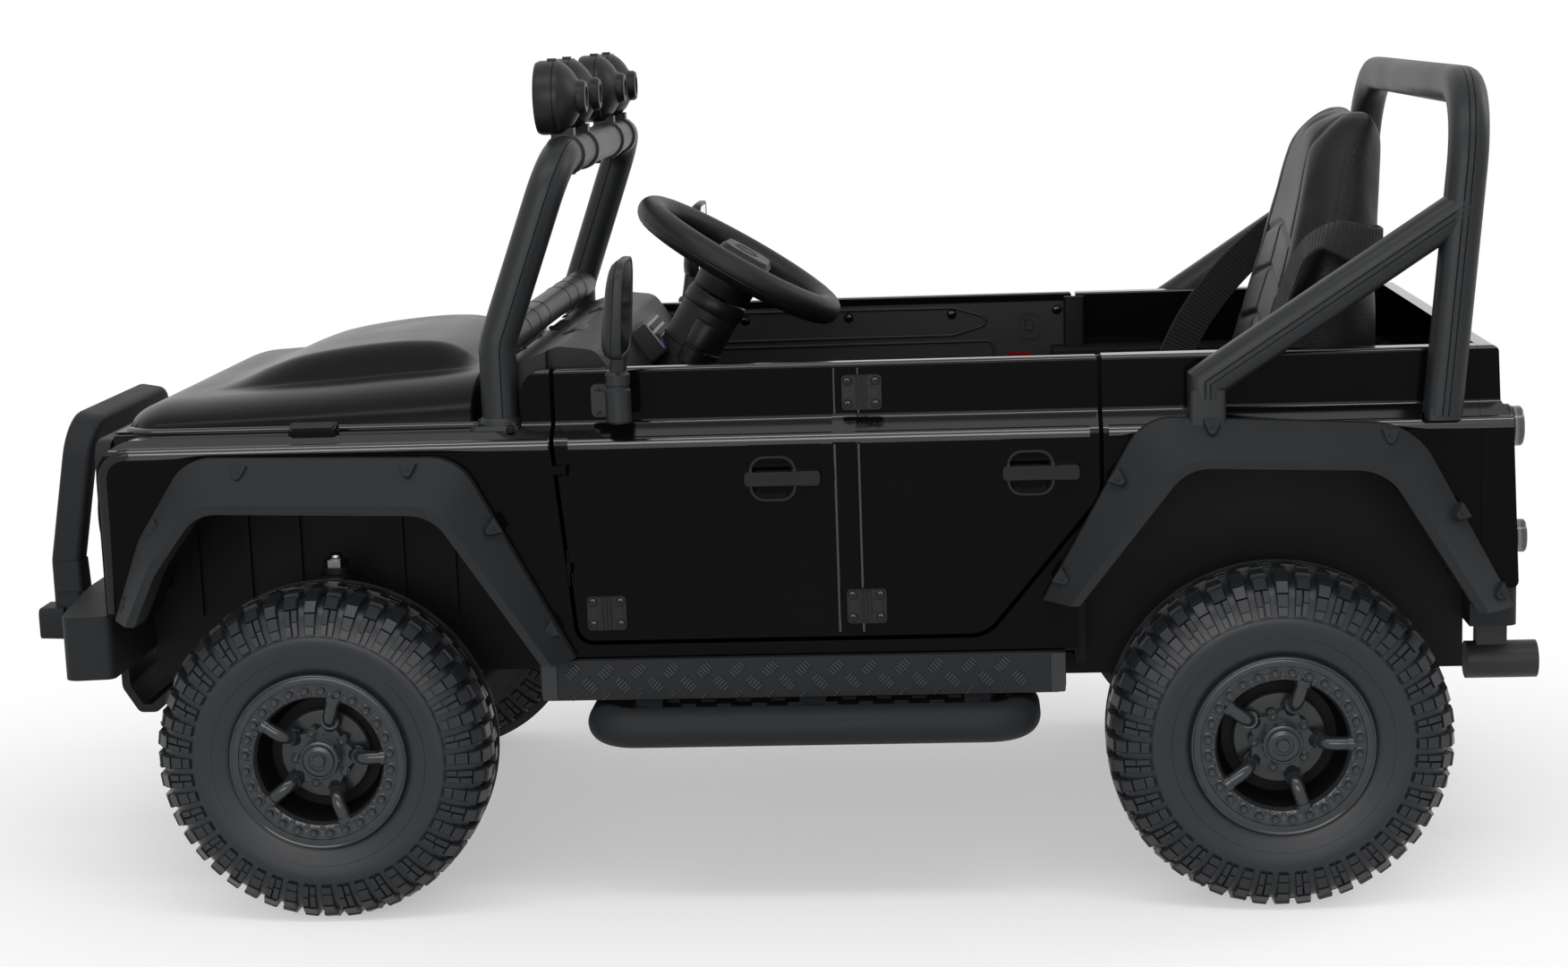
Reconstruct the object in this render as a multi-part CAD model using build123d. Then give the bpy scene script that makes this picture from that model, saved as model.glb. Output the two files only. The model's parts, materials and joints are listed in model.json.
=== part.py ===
from build123d import *
from math import cos, radians, sin, sqrt
import os

# Ride-on toy off-road 4x4: battery-driven, one seat, open top, no windscreen glass.
# Millimetres. X forward, Y to the driver's left, Z up, origin on the floor under the middle of the box.

# Driving sizes: length, overhangs and half width over the doors
LENGTH = 1440.0
FRONT_OVERHANG = 320.0
REAR_OVERHANG = 250.0
BODY_HALF = 305.0
RUN_CLEAR = 0.1
SEAT_CLEAR = 0.3

FRONT_X = LENGTH / 2
REAR_X = -LENGTH / 2
FRONT_AXLE_X = FRONT_X - FRONT_OVERHANG
REAR_AXLE_X = REAR_X + REAR_OVERHANG

# Body shell, seen in section across the car
OUTSIDE_Y = BODY_HALF + 100.0
UPPER_HALF = BODY_HALF - 19.0
INNER_HALF = BODY_HALF - 41.0
TRIM_T = 8.0
SILL_Z = 237.0
WAIST_Z = 438.0
SHELF_Z = 452.0
WING_Z = 447.0
TOP_Z = 501.0
FLOOR_Z = 195.0
FLOOR_T = 20.0
FLOOR_TOP = FLOOR_Z + FLOOR_T
WELL_Y = BODY_HALF - 140.0
REAR_WELL_Y = BODY_HALF - 83.0
REAR_WALL_Y = BODY_HALF - 100.0
WELL_TOP_Z = 395.0
REAR_WELL_TOP_Z = 412.0
FLARE_LIP_Y = BODY_HALF + 40.0
FLARE_EDGE_Y = BODY_HALF + 11.0
FLARE_BOTTOM_Z = 286.0
STRIP_IN_Y = INNER_HALF - 14.5
STRIP_OUT_Y = BODY_HALF + 7.0
STRIP_Z = 200.0

# Body shell along the car: the nose follows the front axle, the tail the rear one
SHELL_FRONT_X = FRONT_AXLE_X + 198.0
POST_X = FRONT_AXLE_X - 193.0
WELL_REAR_X = FRONT_AXLE_X - 190.0
FLOOR_FRONT_X = FRONT_AXLE_X - 210.0
DOOR_FRONT_X = FRONT_AXLE_X - 224.0
DOOR_REAR_X = REAR_AXLE_X + 157.0
FLOOR_REAR_X = REAR_AXLE_X + 190.0
REAR_WELL_FRONT_X = REAR_AXLE_X + 170.0
SHELL_REAR_X = REAR_AXLE_X - 178.0

# Wheels and steering knuckles
TYRE_R = 155.0
TYRE_WIDTH = 95.0
WHEEL_Y = FLARE_LIP_Y - 44.5
LUG_COUNT = 40
LUG_DEPTH = 17.0
SIDEWALL_R = 117.0
RIM_R = 78.0
RING_R = 82.0
RING_INNER_R = 59.0
SPOKE_COUNT = 5
SPOKE_R = 6.5
AXLE_R = 8.0
KINGPIN_R = 9.0
KINGPIN_Y = WHEEL_Y - 75.5
STEER_ARM = 45.0

# Doors: the hinge axis lies just under the skin, so the slanted front edge clears the post as it opens
DOOR_GAP = 4.0
DOOR_BOTTOM_Z = 254.0
DOOR_MID_X = (DOOR_FRONT_X + DOOR_REAR_X) / 2
HINGE_X = DOOR_FRONT_X - 8.0
HINGE_Y = BODY_HALF - 3.0
HINGE_PIN_R = 2.0
HINGE_EYE_R = 3.0
HINGE_LEAF_T = 8.0
HINGE_PIN_LENGTH = 34.0
HINGE_LEVELS = (322.0, 412.0)

# Tubes
SCREEN_TUBE_R = 17.0
SCREEN_Y = BODY_HALF - 33.0
HOOP_TUBE = 34.0
HOOP_Y = BODY_HALF - 1.0
STEP_TUBE_R = 18.0
BULL_TUBE_R = 15.0
BULL_Y = 124.0

# Steering wheel and column, along the column's axis
STEER_CENTRE = (FRONT_AXLE_X - 373.0, 0.0, 571.0)
STEER_TILT = 31.3
STEER_RIM_R = 100.0
STEER_TUBE_R = 14.0
COLUMN_R = 30.0
COLUMN_TOP = 42.0
COLUMN_LENGTH = 118.0
SHAFT_R = 8.0
SHAFT_LENGTH = 100.0

# Lamps
LAMP_R = 34.0
LAMP_Z = 742.0
LAMP_SPACING = 98.0
HEADLAMP_R = 46.0
HEADLAMP_Y = BODY_HALF - 113.0
HEADLAMP_Z = 366.0

nodes = {}


def block(x0, x1, y0, y1, z0, z1):
    """Box between two corners."""
    return Pos((x0 + x1) / 2, (y0 + y1) / 2, (z0 + z1) / 2) * Box(x1 - x0, y1 - y0, z1 - z0)


def outline_face(points, radii, place):
    """Flat face inside a closed outline whose corners are rounded; place turns (a, b) into a 3-D point."""
    return make_face(FilletPolyline([place(a, b) for a, b in points], radius=radii, close=True))


def side_face(points, radii, y):
    return outline_face(points, radii, lambda x, z: (x, y, z))


def side_prism(points, radii, y0, y1):
    """Outline seen from the side (x, z), pulled across from y0 to y1."""
    return extrude(side_face(points, radii, y0), amount=y1 - y0, dir=(0, 1, 0))


def cross_prism(points, radii, x0, x1):
    """Outline seen from the front (y, z), pulled along from x0 to x1."""
    face = outline_face(points, radii, lambda y, z: (x0, y, z))
    return extrude(face, amount=x1 - x0, dir=(1, 0, 0))


def plan_prism(points, radii, z0, z1):
    """Outline seen from above (x, y), pulled up from z0 to z1."""
    face = outline_face(points, radii, lambda x, y: (x, y, z0))
    return extrude(face, amount=z1 - z0, dir=(0, 0, 1))


def rod(start, end, radius):
    """Round bar between two points."""
    a, b = Vector(*start), Vector(*end)
    along = Plane(origin=a, z_dir=b - a)
    return along * Cylinder(radius, (b - a).length, align=(Align.CENTER, Align.CENTER, Align.MIN))


def tube_along(points, radii, section):
    """Section swept along straight runs joined by arcs; section is drawn on its own XY plane."""
    path = FilletPolyline(points, radius=radii)
    start = Plane(origin=path @ 0, x_dir=(0, 1, 0) if abs((path % 0).Y) < 0.9 else (1, 0, 0), z_dir=path % 0)
    return sweep(start * section, path=path)


def turned_y(points):
    """Profile of (radius, y) turned about the Y axis."""
    return revolve(make_face(Polyline([(r, y, 0) for r, y in points], close=True)), axis=Axis.Y)


def turned_x(points):
    """Profile of (x, radius) turned about the X axis."""
    return revolve(make_face(Polyline([(x, r, 0) for x, r in points], close=True)), axis=Axis.X)


def right_of(part):
    return mirror(part, about=Plane.XZ)


def both(part):
    """The left piece and its mirror image."""
    return part + right_of(part)


def pair(name, part):
    nodes[name + "_left"] = part
    nodes[name + "_right"] = right_of(part)


# Outlines seen from the side; columns x, z, corner radius
DOOR_OUTLINE = [
    (DOOR_FRONT_X, TOP_Z, 3.0),
    (DOOR_FRONT_X, WAIST_Z, 30.0),
    (DOOR_FRONT_X - 16.0, DOOR_BOTTOM_Z, 14.0),
    (DOOR_REAR_X + 104.0, DOOR_BOTTOM_Z, 30.0),
    (DOOR_REAR_X, DOOR_BOTTOM_Z + 124.0, 30.0),
    (DOOR_REAR_X, TOP_Z, 3.0),
]
FRONT_ARCH = [
    (FRONT_AXLE_X + 160.0, FLARE_BOTTOM_Z - 2.0, 0.0),
    (FRONT_AXLE_X + 138.0, 332.0, 60.0),
    (FRONT_AXLE_X + 97.0, 386.0, 36.0),
    (FRONT_AXLE_X - 117.0, 380.0, 40.0),
    (FRONT_AXLE_X - 210.0, SILL_Z + 3.0, 0.0),
]
FRONT_FLARE = [
    (FRONT_AXLE_X + 187.0, FLARE_BOTTOM_Z - 2.0, 0.0),
    (FRONT_AXLE_X + 160.0, 358.0, 60.0),
    (FRONT_AXLE_X + 112.0, 432.0, 40.0),
    (FRONT_AXLE_X - 138.0, 427.0, 44.0),
    (FRONT_AXLE_X - 236.0, SILL_Z + 3.0, 0.0),
]
REAR_ARCH = [
    (REAR_AXLE_X + 178.0, FLARE_BOTTOM_Z, 0.0),
    (REAR_AXLE_X + 82.0, 407.0, 40.0),
    (REAR_AXLE_X - 90.0, 401.0, 46.0),
    (REAR_AXLE_X - 170.0, FLARE_BOTTOM_Z - 14.0, 0.0),
]
REAR_FLARE = [
    (REAR_AXLE_X + 209.0, FLARE_BOTTOM_Z, 0.0),
    (REAR_AXLE_X + 118.0, 449.0, 44.0),
    (REAR_AXLE_X - 118.0, 437.0, 60.0),
    (REAR_AXLE_X - 206.0, FLARE_BOTTOM_Z - 14.0, 0.0),
]


def corners(table):
    return [(x, z) for x, z, radius in table]


def radii_of(table):
    return [radius for x, z, radius in table]


def table_prism(table, y0, y1):
    return side_prism(corners(table), radii_of(table), y0, y1)


def arch_cut(table, reach_front, reach_rear):
    """Wheel opening, carried on down past the sill and out past the ends of its flare."""
    (x_front, z_front), (x_rear, z_rear) = corners(table)[0], corners(table)[-1]
    low = 100.0
    below = side_prism(
        [(x_front + reach_front, z_front), (x_front, z_front), (x_rear, z_rear),
         (x_rear - reach_rear, z_rear),
         (x_rear - reach_rear, low), (x_front + reach_front, low)],
        0, 0.0, OUTSIDE_Y,
    )
    return table_prism(table, 0.0, OUTSIDE_Y) + below


# Body side: wing, sill and quarter in one moulding, with the door opening
def side_section(inner, proud=0.0):
    """Section of the side from its inner face out to the gloss skin: rounded waist, shelf and upper band."""
    outer, upper = BODY_HALF + proud, UPPER_HALF + proud
    return (
        [(outer, SILL_Z), (outer, WAIST_Z), (upper, SHELF_Z + proud), (upper, TOP_Z), (inner, TOP_Z),
         (inner, SILL_Z)],
        [2.0, 9.0, 5.0, 4.0, 2.0, 0.0],
    )


door_face = side_face(corners(DOOR_OUTLINE), radii_of(DOOR_OUTLINE), 0.0)
door_opening = extrude(offset(door_face, amount=DOOR_GAP), amount=OUTSIDE_Y, dir=(0, 1, 0))
door_opening += block(DOOR_REAR_X - DOOR_GAP, DOOR_FRONT_X + DOOR_GAP, 0, OUTSIDE_Y, TOP_Z - 20, TOP_Z + 20)
shell_outline = side_prism(
    [(SHELL_FRONT_X, SILL_Z), (SHELL_FRONT_X, WING_Z), (POST_X, WING_Z), (POST_X, TOP_Z),
     (SHELL_REAR_X, TOP_Z), (SHELL_REAR_X, SILL_Z)],
    [0, 34.0, 4.0, 22.0, 0, 0], 0.0, OUTSIDE_Y,
)
side_points, side_radii = side_section(INNER_HALF)
body_side = cross_prism(side_points, side_radii, SHELL_REAR_X, SHELL_FRONT_X) & shell_outline
body_side -= door_opening
body_side -= arch_cut(FRONT_ARCH, 60.0, 1.0)
body_side -= arch_cut(REAR_ARCH, 1.0, 60.0)

# Hinge leaves with their pins stand out of the front post into notches of the door
hinge_notches = Part()
post_edge = DOOR_FRONT_X + DOOR_GAP + 4.0
notch_half = HINGE_LEAF_T / 2 + 1.0
notch_back = HINGE_Y - 2 * HINGE_EYE_R
for level in HINGE_LEVELS:
    low, high = level - HINGE_LEAF_T / 2, level + HINGE_LEAF_T / 2
    leaf = block(HINGE_X, post_edge, HINGE_Y - HINGE_EYE_R + 0.5, HINGE_Y + HINGE_EYE_R - 0.5, low, high)
    leaf += Pos(HINGE_X, HINGE_Y, level) * Cylinder(HINGE_EYE_R, HINGE_LEAF_T)
    pin = Pos(HINGE_X, HINGE_Y, level) * Cylinder(HINGE_PIN_R, HINGE_PIN_LENGTH)
    body_side += leaf + pin
    hinge_notches += block(HINGE_X - 8, post_edge, notch_back, OUTSIDE_Y, level - notch_half,
                           level + notch_half)
    hinge_notches += Pos(HINGE_X, HINGE_Y, level) * Cylinder(HINGE_PIN_R + RUN_CLEAR, HINGE_PIN_LENGTH + 2.0)
pair("body_side", body_side)

# Floor and the inner tubs that close the wheel wells
floor_pan = block(FLOOR_REAR_X, FLOOR_FRONT_X, -STRIP_IN_Y, STRIP_IN_Y, FLOOR_Z, FLOOR_TOP)
floor_pan += block(FLOOR_FRONT_X - 1, SHELL_FRONT_X, -WELL_Y, WELL_Y, FLOOR_Z, FLOOR_TOP)
floor_pan += block(SHELL_REAR_X, FLOOR_REAR_X + 1, -REAR_WELL_Y, REAR_WELL_Y, FLOOR_Z, FLOOR_TOP)
nodes["floor_pan"] = floor_pan

front_inner = block(FLOOR_FRONT_X, SHELL_FRONT_X - 6, -INNER_HALF, INNER_HALF, FLOOR_TOP, WING_Z)
front_inner += block(WELL_REAR_X, SHELL_FRONT_X, -WELL_Y, WELL_Y, FLOOR_TOP, WING_Z - 30)
well_wall_x = WELL_REAR_X - 5
front_well = block(well_wall_x, SHELL_FRONT_X - 22, WELL_Y, OUTSIDE_Y, 0, WELL_TOP_Z)
front_well += block(well_wall_x, SHELL_FRONT_X + 10, WELL_Y, OUTSIDE_Y, 0, FLARE_BOTTOM_Z)
front_inner -= both(front_well)
front_inner -= both(block(FLOOR_FRONT_X - 10, well_wall_x, STRIP_IN_Y - 0.5, OUTSIDE_Y, 0, SILL_Z))
RIB_DEPTH = 5.0
RIB_HALF = 3.0
for rib_step in (-150, -100, -50, 50, 100, 150):
    rib_x = FRONT_AXLE_X + rib_step
    rib = block(rib_x - RIB_HALF, rib_x + RIB_HALF, WELL_Y, WELL_Y + RIB_DEPTH, FLOOR_TOP + 40, WELL_TOP_Z)
    front_inner += both(rib)
nodes["front_inner"] = front_inner

rear_inner = block(SHELL_REAR_X, REAR_WELL_FRONT_X + 10, -INNER_HALF, INNER_HALF, FLOOR_TOP, SHELF_Z - 7)
rear_well = block(SHELL_REAR_X + 16, REAR_WELL_FRONT_X, REAR_WELL_Y, OUTSIDE_Y, 0, REAR_WELL_TOP_Z)
rear_well += block(SHELL_REAR_X - 10, REAR_WELL_FRONT_X, REAR_WELL_Y, OUTSIDE_Y, 0, FLARE_BOTTOM_Z)
rear_inner -= both(rear_well)
rear_inner -= block(SHELL_REAR_X + 12, DOOR_MID_X, -REAR_WALL_Y, REAR_WALL_Y, FLOOR_TOP - 1, TOP_Z)
nodes["rear_inner"] = rear_inner

# Tread strips under the sills
strip_front = FLOOR_FRONT_X + 7.0
tread_strip = side_prism(
    [(strip_front, STRIP_Z), (strip_front, SILL_Z), (FLOOR_REAR_X, SILL_Z), (FLOOR_REAR_X, STRIP_Z)],
    [8, 0, 0, 8], STRIP_IN_Y, STRIP_OUT_Y,
)
nodes["tread_strips"] = both(tread_strip)

# Flares: a straight edge on the body, then a face that leans out to the lip round the wheel
LIP_T = 9.0


def flare(table, arch):
    outer = side_face(corners(table), radii_of(table), BODY_HALF + SEAT_CLEAR)
    edge = extrude(outer, amount=FLARE_EDGE_Y - BODY_HALF - SEAT_CLEAR, dir=(0, 1, 0))
    lip_points = []
    for (x, z, r), (xo, zo, ro) in zip(arch, table):
        share = LIP_T / sqrt((xo - x) ** 2 + (zo - z) ** 2)
        lip_points.append((x + (xo - x) * share, z + (zo - z) * share))
    lip = side_face(lip_points, radii_of(arch), FLARE_LIP_Y)
    leaning = loft([side_face(corners(table), radii_of(table), FLARE_EDGE_Y), lip], ruled=True)
    return (edge + leaning) - arch_cut(arch, 1.0, 1.0)


pair("front_flare", flare(FRONT_FLARE, FRONT_ARCH))
rear_flare = flare(REAR_FLARE, REAR_ARCH)
pair("rear_flare", rear_flare)

# Bonnet: four sections lofted, with a raised centre; columns x from the front axle, edge z, shoulder z
BONNET_HALF = INNER_HALF - 12.0
BONNET_SHOULDER = BONNET_HALF - 20.0
BONNET_BASE = WING_Z + SEAT_CLEAR
BONNET_SECTIONS = [(-145, 462, 499), (0, 464, 495), (125, 463, 482), (192, 456, 462)]


def bonnet_section(x, edge_z, shoulder_z):
    points = [(-BONNET_HALF, BONNET_BASE), (-BONNET_HALF, edge_z), (-BONNET_SHOULDER, shoulder_z),
              (BONNET_SHOULDER, shoulder_z), (BONNET_HALF, edge_z), (BONNET_HALF, BONNET_BASE)]
    return outline_face(points, 0, lambda y, z: (FRONT_AXLE_X + x, y, z))


bonnet = loft([bonnet_section(*row) for row in BONNET_SECTIONS], ruled=True)
BULGE_TOP = 511.0
BULGE_BASE = 460.0
BULGE_HALF = 165.0
BULGE_NOSE_HALF = 95.0
bulge_rear, bulge_front = FRONT_AXLE_X - 132.0, FRONT_AXLE_X + 135.0
bulge_side = side_prism(
    [(bulge_rear, 480), (bulge_rear + 17, BULGE_TOP), (FRONT_AXLE_X + 10, BULGE_TOP), (bulge_front, 478),
     (bulge_front, BULGE_BASE), (bulge_rear, BULGE_BASE)],
    [0, 20, 120, 0, 0, 0], -BULGE_HALF - 5, BULGE_HALF + 5,
)
bulge_plan = plan_prism(
    [(bulge_rear - 8, -BULGE_HALF), (bulge_rear - 8, BULGE_HALF), (FRONT_AXLE_X + 30, BULGE_HALF - 15),
     (bulge_front + 10, BULGE_NOSE_HALF), (bulge_front + 10, -BULGE_NOSE_HALF),
     (FRONT_AXLE_X + 30, -BULGE_HALF + 15)],
    0, BULGE_BASE - 5, BULGE_TOP + 20,
)
bonnet += bulge_side & bulge_plan
nodes["bonnet"] = bonnet

# Front panel with its slatted opening, and the round lamps
GRILLE_T = 14.0
GRILLE_HALF = INNER_HALF - 2.0
GRILLE_Z0, GRILLE_Z1 = 292.0, 442.0
grille = cross_prism(
    [(-GRILLE_HALF, GRILLE_Z0), (GRILLE_HALF, GRILLE_Z0), (GRILLE_HALF, GRILLE_Z1),
     (-GRILLE_HALF, GRILLE_Z1)],
    18, SHELL_FRONT_X + SEAT_CLEAR, SHELL_FRONT_X + GRILLE_T,
)
GRILLE_WINDOW = (120.0, 312.0, 420.0)
half, low_z, high_z = GRILLE_WINDOW
grille -= cross_prism(
    [(-half, low_z), (half, low_z), (half, high_z), (-half, high_z)], 10, SHELL_FRONT_X + 4,
    SHELL_FRONT_X + 40
)
SLAT_COUNT = 5
slat_pitch = (high_z - low_z) / (SLAT_COUNT + 1)
for i in range(1, SLAT_COUNT + 1):
    slat_z = low_z + i * slat_pitch
    grille += block(SHELL_FRONT_X + 4, SHELL_FRONT_X + 12, -half, half, slat_z - 4, slat_z + 4)
nodes["grille_panel"] = grille

lamp_seat = SHELL_FRONT_X + GRILLE_T
headlamp = turned_x([
    (lamp_seat, 0), (lamp_seat, HEADLAMP_R), (lamp_seat + 8, HEADLAMP_R), (lamp_seat + 10, HEADLAMP_R - 5),
    (lamp_seat + 6, HEADLAMP_R - 7), (lamp_seat + 12, HEADLAMP_R - 22), (lamp_seat + 14, 0),
])
nodes["headlamps"] = both(Pos(0, HEADLAMP_Y, HEADLAMP_Z) * headlamp)

# Dashboard with the column's bore
COLUMN_DIR = Vector(sin(radians(STEER_TILT)), 0, -cos(radians(STEER_TILT)))
column_plane = Plane(origin=STEER_CENTRE, x_dir=(0, 1, 0), z_dir=COLUMN_DIR)


def on_column(start, length, radius):
    """Round bar on the column's axis, from a distance below the steering wheel's centre."""
    low = (Align.CENTER, Align.CENTER, Align.MIN)
    return column_plane * Pos(0, 0, start) * Cylinder(radius, length, align=low)


dash_z = WING_Z + SEAT_CLEAR
DASH_REAR_X = FRONT_AXLE_X - 288.0
DASH_FRONT_X = FRONT_AXLE_X - 166.0
DASH_LOW_Z = 425.0
dash_step_x = FLOOR_FRONT_X - 1.0
dashboard = side_prism(
    [(DASH_FRONT_X, dash_z), (DASH_FRONT_X, 500), (DASH_FRONT_X - 58, 518), (DASH_REAR_X + 30, 514),
     (DASH_REAR_X, 470), (DASH_REAR_X + 10, DASH_LOW_Z), (dash_step_x, DASH_LOW_Z), (dash_step_x, dash_z)],
    [0, 12, 8, 18, 14, 10, 0, 0], -INNER_HALF + 0.5, INNER_HALF - 0.5,
)
dashboard -= both(block(DOOR_MID_X, DOOR_FRONT_X + 10, INNER_HALF - 14, OUTSIDE_Y, 0, TOP_Z + 100))
dashboard -= on_column(0, COLUMN_TOP + COLUMN_LENGTH, COLUMN_R + 0.2)
nodes["dashboard"] = dashboard

column = on_column(COLUMN_TOP, COLUMN_LENGTH - 0.2, COLUMN_R)
column -= on_column(0, SHAFT_LENGTH + 5, SHAFT_R + RUN_CLEAR)
nodes["steering_column"] = column

# Steering wheel in its own plane: local x to the left, local y to the driver, z up the column
wheel_plane = Plane(origin=STEER_CENTRE, x_dir=(0, 1, 0), z_dir=-COLUMN_DIR)
steering = Torus(STEER_RIM_R, STEER_TUBE_R)
for spoke_angle in (180, 0, 90):
    spoke = Rot(0, 0, spoke_angle) * Pos((STEER_RIM_R + 20) / 2, 0, -4) * Box(STEER_RIM_R - 24, 26, 9)
    steering += spoke
hub = extrude(RectangleRounded(84, 70, 16), amount=24)
steering += Pos(0, 4, -20) * hub
steering += Pos(0, 0, -COLUMN_TOP + 3) * Cylinder(18, 30, align=(Align.CENTER, Align.CENTER, Align.MIN))
steering = wheel_plane * steering
steering += on_column(10, SHAFT_LENGTH - 10, SHAFT_R)
nodes["steering_wheel"] = steering

# Windscreen frame: hoop of tube on two foot plates, with a lower bar; no glass
SCREEN_FOOT_X = FRONT_AXLE_X - 172.0
SCREEN_KNEE_Z = 524.0
SCREEN_TOP_X = FRONT_AXLE_X - 232.0
SCREEN_TOP_Z = 690.0
SCREEN_TOP_Y = SCREEN_Y - 10.0
screen_path = [
    (SCREEN_FOOT_X, SCREEN_Y, WING_Z), (SCREEN_FOOT_X, SCREEN_Y, SCREEN_KNEE_Z),
    (SCREEN_TOP_X, SCREEN_TOP_Y, SCREEN_TOP_Z), (SCREEN_TOP_X, -SCREEN_TOP_Y, SCREEN_TOP_Z),
    (SCREEN_FOOT_X, -SCREEN_Y, SCREEN_KNEE_Z), (SCREEN_FOOT_X, -SCREEN_Y, WING_Z),
]
screen = tube_along(screen_path, [40, 42, 42, 40], Circle(SCREEN_TUBE_R))
screen += rod((SCREEN_FOOT_X - 4, -SCREEN_Y, SCREEN_KNEE_Z + 2),
              (SCREEN_FOOT_X - 4, SCREEN_Y, SCREEN_KNEE_Z + 2),
              SCREEN_TUBE_R - 2)
foot = block(POST_X + 2, SCREEN_FOOT_X + 26, SCREEN_Y - 19, SCREEN_Y + 21, WING_Z, WING_Z + 5)
screen += both(foot)
screen -= dashboard
screen -= both(body_side)
nodes["windscreen_frame"] = screen

# Four lamps on brackets along the top bar
lamp_back = SCREEN_TOP_X - 22.0
roof_lamp = turned_x([
    (lamp_back, 0), (lamp_back, 15), (lamp_back + 7, 16), (lamp_back + 22, LAMP_R - 1),
    (lamp_back + 24, LAMP_R),
    (lamp_back + 42, LAMP_R), (lamp_back + 46, LAMP_R - 3), (lamp_back + 43, LAMP_R - 6), (lamp_back + 45, 0),
])
roof_lamp = Pos(0, 0, LAMP_Z) * roof_lamp
roof_lamp += block(lamp_back + 27, lamp_back + 36, -3, 3, LAMP_Z + LAMP_R - 3, LAMP_Z + LAMP_R + 2)
roof_lamp += block(SCREEN_TOP_X - 8, SCREEN_TOP_X + 12, -10, 10, SCREEN_TOP_Z, LAMP_Z - LAMP_R + 6)
roof_lamp -= Pos(SCREEN_TOP_X, 0, SCREEN_TOP_Z) * Rot(90, 0, 0) * Cylinder(SCREEN_TUBE_R + 0.1, 60)
lamps = Part()
for place in (-2, -1, 1, 2):
    lamps += Pos(0, place * LAMP_SPACING, 0) * roof_lamp
nodes["roof_lamps"] = lamps

# Roll hoop with its two braces, standing on the shelf outside the upper band
HOOP_FOOT_X = REAR_AXLE_X - 144.0
HOOP_TOP_X = REAR_AXLE_X - 170.0
HOOP_TOP_Z = 728.0
BRACE_FOOT_X = REAR_AXLE_X + 62.0
hoop_foot_z = WAIST_Z + 2
hoop_section = RectangleRounded(HOOP_TUBE, HOOP_TUBE, 9)
hoop_path = [
    (HOOP_FOOT_X, HOOP_Y, hoop_foot_z), (HOOP_TOP_X, HOOP_Y, HOOP_TOP_Z),
    (HOOP_TOP_X, -HOOP_Y, HOOP_TOP_Z), (HOOP_FOOT_X, -HOOP_Y, hoop_foot_z),
]
hoop = tube_along(hoop_path, [70, 70], hoop_section)
brace = side_prism(
    [(BRACE_FOOT_X + 19, hoop_foot_z), (BRACE_FOOT_X + 19, 486), (HOOP_TOP_X + 20, 645),
     (HOOP_TOP_X + 4, 640),
     (HOOP_TOP_X + 20, 609), (BRACE_FOOT_X - 19, 474), (BRACE_FOOT_X - 19, hoop_foot_z)],
    [0, 8, 0, 0, 0, 12, 0], HOOP_Y - HOOP_TUBE / 2, HOOP_Y + HOOP_TUBE / 2,
)
hoop += both(brace)
hoop -= both(block(SHELL_REAR_X - 40, DOOR_MID_X, 0, UPPER_HALF + 0.2, 0, TOP_Z + 1))
hoop -= both(body_side + rear_flare)
nodes["roll_hoop"] = hoop

# Tailgate across the back, with its raised door and four round lamps
TAIL_X = SHELL_REAR_X - 34.0
tail_seat = SHELL_REAR_X - SEAT_CLEAR
tail_side = side_prism(
    [(tail_seat, TOP_Z), (TAIL_X + 16, TOP_Z), (TAIL_X + 14, SHELF_Z), (TAIL_X + 6, WAIST_Z),
     (TAIL_X, FLARE_BOTTOM_Z),
     (tail_seat, FLARE_BOTTOM_Z)],
    [0, 6, 0, 6, 6, 0], -OUTSIDE_Y, OUTSIDE_Y,
)
tail_cross = cross_prism(
    [(-BODY_HALF, FLARE_BOTTOM_Z), (BODY_HALF, FLARE_BOTTOM_Z), (BODY_HALF, WAIST_Z), (UPPER_HALF, SHELF_Z),
     (UPPER_HALF, TOP_Z), (-UPPER_HALF, TOP_Z), (-UPPER_HALF, SHELF_Z), (-BODY_HALF, WAIST_Z)],
    [0, 0, 9, 5, 4, 4, 5, 9], REAR_X, SHELL_REAR_X + 40,
)
tailgate = tail_side & tail_cross
GATE_HALF = BODY_HALF - 90.0
GATE_Z0, GATE_Z1 = 304.0, 430.0
tailgate += side_prism(
    [(TAIL_X + 22, GATE_Z0), (TAIL_X + 22, GATE_Z1), (TAIL_X, GATE_Z1), (TAIL_X - 3, GATE_Z0)], [0, 0, 5, 5],
    -GATE_HALF, GATE_HALF,
)
nodes["tailgate"] = tailgate - hoop

TAIL_LAMPS = [(425.0, 18.0), (325.0, 15.0)]
TAIL_LAMP_Y = BODY_HALF - 43.0
tail_lamps = Part()
for lamp_z, lamp_r in TAIL_LAMPS:
    face_x = TAIL_X + (lamp_z - FLARE_BOTTOM_Z) * 6.0 / (WAIST_Z - FLARE_BOTTOM_Z)
    lamp = turned_x([(face_x + 6, 0), (face_x + 6, lamp_r), (face_x - 4, lamp_r), (face_x - 8, lamp_r - 5),
                     (face_x - 9, 0)])
    tail_lamps += both(Pos(0, TAIL_LAMP_Y, lamp_z) * lamp)
nodes["tail_lamps"] = tail_lamps - tailgate

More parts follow.
